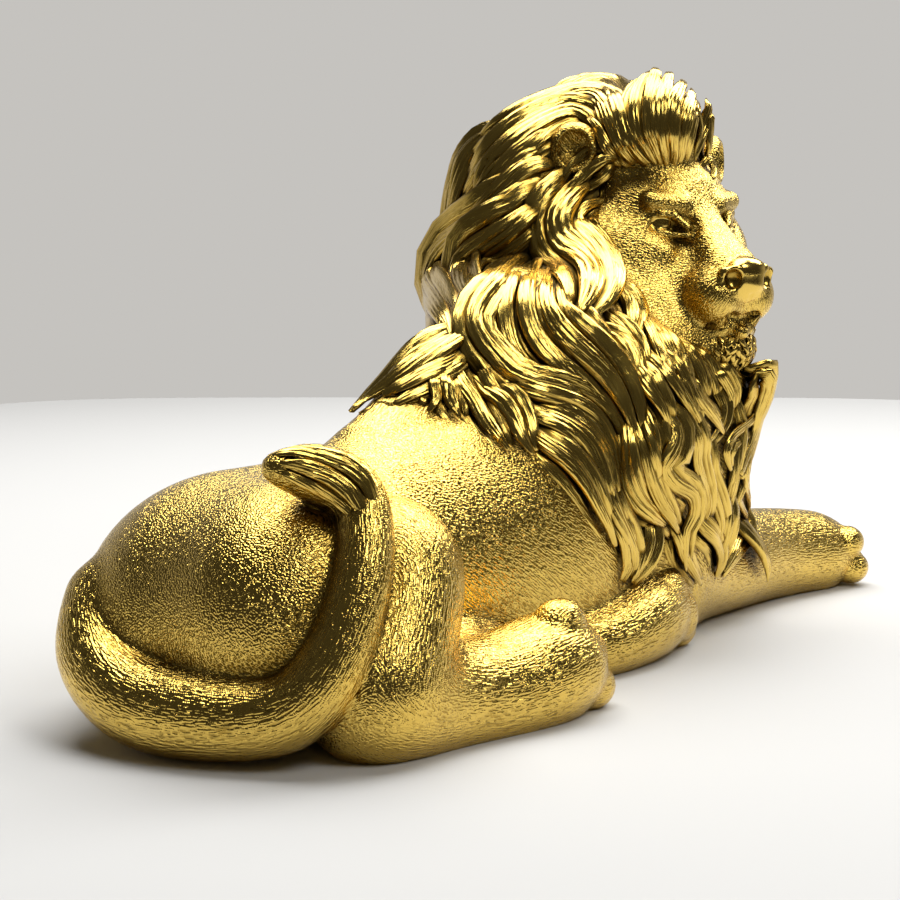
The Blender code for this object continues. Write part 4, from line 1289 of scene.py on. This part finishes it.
def markHollows(pieces):
    vertices = []
    faces = []
    for piece in pieces:
        count = len(vertices)
        vertices += [tuple(v.co) for v in piece.data.vertices]
        faces += [[i + count for i in p.vertices] for p in piece.data.polygons]
    tree = BVHTree.FromPolygons(vertices, faces)
    ways = openWays()
    for piece in pieces:
        shut = np.zeros(len(piece.data.vertices))
        for i, vertex in enumerate(piece.data.vertices):
            turnUp = vertex.normal.to_track_quat("Z", "Y")
            origin = vertex.co + vertex.normal * hollows["start"]
            for way in ways:
                if tree.ray_cast(origin, turnUp @ way, hollows["reach"])[0] is not None:
                    shut[i] += 1
            shut[i] /= hollows["rays"]
        addValues(piece.data, "hollow", shut)


# Finish

gold = {
    "bright": (0.80, 0.55, 0.12, 1.0),
    # deep is the gold in painted shade, and the next colour the darkest painted shade of the hollows
    "deep": (0.30, 0.175, 0.022, 1.0),
    "paintedShade": (0.05, 0.034, 0.008, 1.0),
    "polish": 0.17,
    "worn": 0.40,
    "deepening": (0.15, 0.60),  # how low a place is where each begins and is complete; the first two paint shade into the colour
    "darkening": (0.55, 0.95),
    "dulling": (0.2, 0.9),
    "cloudScale": 0.16,
    "cloudDetail": 3.0,
    "cloudRange": (0.3, 0.7),
    "cloudShare": 0.10,
    # painted shade of the mane: its hollows, the valleys between strands and the fine grooves
    "maneHollows": 1.15,
    "maneValleys": (0.6, 0.35),
    "maneGrooves": (0.5, 0.12),
    "strandFineness": 1.5,
    "strandDepth": 0.09,
    "strandContrast": (0.34, 0.66),
    "strandLayers": ((1.0, 1.0), (2.3, 1.6)),  # finer across and along
}


def groupTree(name, inputs, outputs):
    tree = bpy.data.node_groups.new(name, "ShaderNodeTree")
    for label, kind in inputs:
        tree.interface.new_socket(label, in_out="INPUT", socket_type=kind)
    for label, kind in outputs:
        tree.interface.new_socket(label, in_out="OUTPUT", socket_type=kind)
    return tree, tree.nodes.new("NodeGroupInput"), tree.nodes.new("NodeGroupOutput")


def put(tree, kind, **settings):
    node = tree.nodes.new(kind)
    for name, value in settings.items():
        setattr(node, name, value)
    return node


def feed(tree, source, target):
    if isinstance(source, (int, float, tuple)):
        target.default_value = source
    else:
        tree.links.new(source, target)


def maths(tree, operation, a, b=0.0, clamp=False):
    node = put(tree, "ShaderNodeMath", operation=operation, use_clamp=clamp)
    feed(tree, a, node.inputs[0])
    feed(tree, b, node.inputs[1])
    return node.outputs[0]


def spread(tree, value, low, high, outLow=0.0, outHigh=1.0):
    node = put(tree, "ShaderNodeMapRange")
    for source, socket in zip((value, low, high, outLow, outHigh), node.inputs):
        feed(tree, source, socket)
    return node.outputs[0]


def mixed(tree, share, first, second):
    node = put(tree, "ShaderNodeMix", data_type="RGBA")
    feed(tree, share, node.inputs["Factor"])
    feed(tree, first, node.inputs[6])  # the sockets of a colour mix
    feed(tree, second, node.inputs[7])
    return node.outputs[2]


def noiseOf(tree, place, scale, detail):
    noise = put(tree, "ShaderNodeTexNoise", noise_dimensions="3D")
    feed(tree, place, noise.inputs["Vector"])
    feed(tree, scale, noise.inputs["Scale"])
    noise.inputs["Detail"].default_value = detail
    return noise.outputs["Fac"]


def furGroup():
    # Short strokes of hide: noise smeared along the way the fur runs
    inputs = [("Place", "NodeSocketVector"), ("Flow", "NodeSocketVector"),
              ("Size", "NodeSocketFloat"), ("Length", "NodeSocketFloat")]
    tree, given, made = groupTree("furStrokes", inputs, [("Height", "NodeSocketFloat")])
    total = 0.0
    steps = (-2, -1, 0, 1, 2)
    for step in steps:
        reach = maths(tree, "MULTIPLY", given.outputs["Length"], step / 4)
        shift = put(tree, "ShaderNodeVectorMath", operation="SCALE")
        feed(tree, given.outputs["Flow"], shift.inputs[0])
        feed(tree, reach, shift.inputs["Scale"])
        moved = put(tree, "ShaderNodeVectorMath", operation="ADD")
        feed(tree, given.outputs["Place"], moved.inputs[0])
        feed(tree, shift.outputs[0], moved.inputs[1])
        scale = maths(tree, "DIVIDE", 1.0, given.outputs["Size"])
        total = maths(tree, "ADD", noiseOf(tree, moved.outputs[0], scale, 0.0), total)
    mean = maths(tree, "DIVIDE", total, float(len(steps)))
    feed(tree, spread(tree, mean, *fur["contrast"]), made.inputs["Height"])
    return tree


def strandGroup():
    # Fine strands along a lock, in two layers
    inputs = [("Run", "NodeSocketVector"), ("Fineness", "NodeSocketFloat")]
    tree, given, made = groupTree("fineStrands", inputs, [("Height", "NodeSocketFloat")])
    heights = []
    for fine, along in gold["strandLayers"]:
        stretch = put(tree, "ShaderNodeVectorMath", operation="MULTIPLY")
        feed(tree, given.outputs["Run"], stretch.inputs[0])
        stretch.inputs[1].default_value = (fine, along, 1.0)
        heights.append(noiseOf(tree, stretch.outputs[0], given.outputs["Fineness"], 1.0))
    both = maths(tree, "MULTIPLY", maths(tree, "ADD", *heights), 0.5)
    feed(tree, spread(tree, both, *gold["strandContrast"]), made.inputs["Height"])
    return tree


def paintedShadeGroup():
    # Bright gold on the high places, dark painted shade in the low ones
    inputs = [("Place", "NodeSocketVector"), ("Low", "NodeSocketFloat"), ("Bright", "NodeSocketColor"),
              ("Deep", "NodeSocketColor"), ("Patina", "NodeSocketColor")]
    outputs = [("Color", "NodeSocketColor"), ("Roughness", "NodeSocketFloat")]
    tree, given, made = groupTree("castPatina", inputs, outputs)
    cloud = noiseOf(tree, given.outputs["Place"], gold["cloudScale"], gold["cloudDetail"])
    cloud = spread(tree, cloud, *gold["cloudRange"], -gold["cloudShare"], gold["cloudShare"])
    low = maths(tree, "ADD", given.outputs["Low"], cloud)
    warm = mixed(tree, spread(tree, low, *gold["deepening"]), given.outputs["Bright"], given.outputs["Deep"])
    dark = mixed(tree, spread(tree, low, *gold["darkening"]), warm, given.outputs["Patina"])
    feed(tree, dark, made.inputs["Color"])
    dull = spread(tree, low, *gold["dulling"], gold["polish"], gold["worn"])
    feed(tree, dull, made.inputs["Roughness"])
    return tree


def useGroup(tree, group, **inputs):
    node = put(tree, "ShaderNodeGroup", node_tree=group)
    for name, value in inputs.items():
        feed(tree, value, node.inputs[name])
    return node


def readAttribute(tree, name, output):
    return put(tree, "ShaderNodeAttribute", attribute_name=name).outputs[output]


def figurePlace(tree):
    place = put(tree, "ShaderNodeTexCoord").outputs["Object"]
    millimetres = put(tree, "ShaderNodeVectorMath", operation="SCALE")
    feed(tree, place, millimetres.inputs[0])
    millimetres.inputs["Scale"].default_value = 1 / unit
    return millimetres.outputs[0]


def goldLook(tree, paintedShade, low, height, depth):
    shader = tree.nodes["Principled BSDF"]
    shader.inputs["Metallic"].default_value = 1.0
    bump = put(tree, "ShaderNodeBump")
    bump.inputs["Strength"].default_value = 1.0
    bump.inputs["Distance"].default_value = depth * unit
    feed(tree, height, bump.inputs["Height"])
    feed(tree, bump.outputs[0], shader.inputs["Normal"])
    # the colour takes painted shade in the low places
    finish = useGroup(tree, paintedShade, Place=figurePlace(tree), Low=low, Bright=gold["bright"],
                      Deep=gold["deep"], Patina=gold["paintedShade"])
    feed(tree, finish.outputs["Color"], shader.inputs["Base Color"])
    feed(tree, finish.outputs["Roughness"], shader.inputs["Roughness"])


def newMaterial(name):
    material = bpy.data.materials.new(name)
    material.use_nodes = True
    return material, material.node_tree


def hideGold(paintedShade):
    material, tree = newMaterial("hideGold")
    size = readAttribute(tree, "furSize", "Fac")
    length = maths(tree, "MULTIPLY", size, fur["length"])
    flow = readAttribute(tree, "furFlow", "Vector")
    strokes = useGroup(tree, furGroup(), Place=figurePlace(tree), Flow=flow, Size=size, Length=length)
    strokes = strokes.outputs["Height"]
    furred = spread(tree, readAttribute(tree, "bare", "Fac"), 0.0, 1.0, 1.0, 0.0)
    depth = maths(tree, "DIVIDE", size, fur["fullSize"])
    height = maths(tree, "MULTIPLY", maths(tree, "MULTIPLY", strokes, furred), depth)
    # painted shade: the hollows and the gaps between the fur strokes are darkened
    hollow = maths(tree, "MULTIPLY", readAttribute(tree, "hollow", "Fac"), fur["hollows"])
    between = maths(tree, "MULTIPLY", spread(tree, strokes, 0.0, 0.5, fur["between"], 0.0), furred)
    goldLook(tree, paintedShade, maths(tree, "ADD", hollow, between), height, fur["depth"])
    return material


def maneGold(paintedShade):
    material, tree = newMaterial("maneGold")
    run = readAttribute(tree, "hairRun", "Vector")
    strands = useGroup(tree, strandGroup(), Run=run, Fineness=gold["strandFineness"]).outputs["Height"]
    # painted shade: the hollows, the valleys between strands and the fine grooves are darkened
    hollow = maths(tree, "MULTIPLY", readAttribute(tree, "hollow", "Fac"), gold["maneHollows"])
    valleyEnd, valleyShare = gold["maneValleys"]
    valley = spread(tree, readAttribute(tree, "strand", "Fac"), 0.0, valleyEnd, valleyShare, 0.0)
    grooveEnd, grooveShare = gold["maneGrooves"]
    groove = spread(tree, strands, 0.0, grooveEnd, grooveShare, 0.0)
    low = maths(tree, "ADD", maths(tree, "ADD", hollow, valley), groove)
    goldLook(tree, paintedShade, low, strands, gold["strandDepth"])
    return material


def finishPieces(body, manes):
    # the group that paints shade into the gold of both materials
    paintedShade = paintedShadeGroup()
    body.data.materials.clear()
    body.data.materials.append(hideGold(paintedShade))
    maneLook = maneGold(paintedShade)
    for mane in manes:
        mane.data.materials.append(maneLook)


# Floor, backdrop and light

studio = {
    "floor": (0.58, 0.575, 0.56, 1.0),
    "floorRoughness": 0.9,
    "floorMiddle": 0.265,  # from the origin along the sight line
    "floorHalf": (0.485, 0.36),  # along the sight line and across it
    "floorSquareness": 0.34,  # 1 gives an oval, less a squarer outline
    "floorPoints": 96,
    "wall": (0.56, 0.545, 0.52, 1.0),
    "wallWay": (0.74, 0.67),  # the wall stands on this side
    "wallEdge": (0.0, 0.6),
    "wallTop": (0.20, 0.45),
    "room": (0.045, 0.043, 0.04, 1.0),
    "aim": (0.0, 0.0, 0.06),
    "lights": {  # place, size and power
        "overhead": ((0.22, 0.22, 0.95), 0.85, 15.0),
        "window": ((0.75, -0.12, 0.75), 0.40, 5.0),
        "fill": ((-0.05, -0.85, 1.0), 0.5, 5.0),
    },
}


def makeFloor():
    squareness = studio["floorSquareness"]
    halfAlong, halfAcross = studio["floorHalf"]
    rim = []
    for angle in np.linspace(0, 2 * math.pi, studio["floorPoints"] + 1)[:-1]:
        along = math.copysign(abs(math.cos(angle))**squareness, math.cos(angle))
        across = math.copysign(abs(math.sin(angle))**squareness, math.sin(angle))
        rim.append(lookAhead * (studio["floorMiddle"] + halfAlong * along) + lookRight * halfAcross * across)
    mesh = bpy.data.meshes.new("floor")
    mesh.from_pydata(rim, [], [range(len(rim))])
    material, tree = newMaterial("floorPaint")
    shader = tree.nodes["Principled BSDF"]
    shader.inputs["Base Color"].default_value = studio["floor"]
    shader.inputs["Roughness"].default_value = studio["floorRoughness"]
    mesh.materials.append(material)
    floor = bpy.data.objects.new("floor", mesh)
    bpy.context.scene.collection.objects.link(floor)


def makeRoom():
    world = bpy.data.worlds.new("studio")
    world.use_nodes = True
    tree = world.node_tree
    parts = put(tree, "ShaderNodeSeparateXYZ")
    feed(tree, put(tree, "ShaderNodeTexCoord").outputs["Generated"], parts.inputs[0])
    wallX, wallY = studio["wallWay"]
    toWall = maths(tree, "ADD", maths(tree, "MULTIPLY", parts.outputs["X"], wallX),
                   maths(tree, "MULTIPLY", parts.outputs["Y"], wallY))
    isLow = spread(tree, parts.outputs["Z"], *studio["wallTop"], 1.0, 0.0)
    isWall = maths(tree, "MULTIPLY", spread(tree, toWall, *studio["wallEdge"]), isLow)
    colour = mixed(tree, isWall, studio["room"], studio["wall"])
    feed(tree, colour, tree.nodes["Background"].inputs["Color"])
    bpy.context.scene.world = world
    bpy.context.scene.view_settings.view_transform = "Standard"


def makeLights():
    for name, (place, size, power) in studio["lights"].items():
        data = bpy.data.lights.new(name, "AREA")
        data.energy = power
        data.size = size
        light = bpy.data.objects.new(name, data)
        light.location = place
        light.rotation_euler = (Vector(studio["aim"]) - Vector(place)).to_track_quat("-Z", "Y").to_euler()
        bpy.context.scene.collection.objects.link(light)


makeCamera()
print("camera set")
makeFloor()
makeRoom()
makeLights()
print("studio set")
body = makeBody()
print("body:", len(body.data.polygons), "faces")
manes = makeMane()
body.name = "lion"
pieces = (body, *manes)
for piece in pieces:
    piece.data.shade_smooth()
markHollows(pieces)
print("hollows marked")
finishPieces(body, manes)
print("gold laid on")
for piece in pieces:
    piece.data.transform(Matrix.Translation(-Vector(planMiddle)))
    piece.data.transform(Matrix.Scale(unit, 4))
    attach(piece, "root")
    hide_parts("lion")
print("triangles:", {p.name: sum(len(f.vertices) - 2 for f in p.data.polygons) for p in pieces})
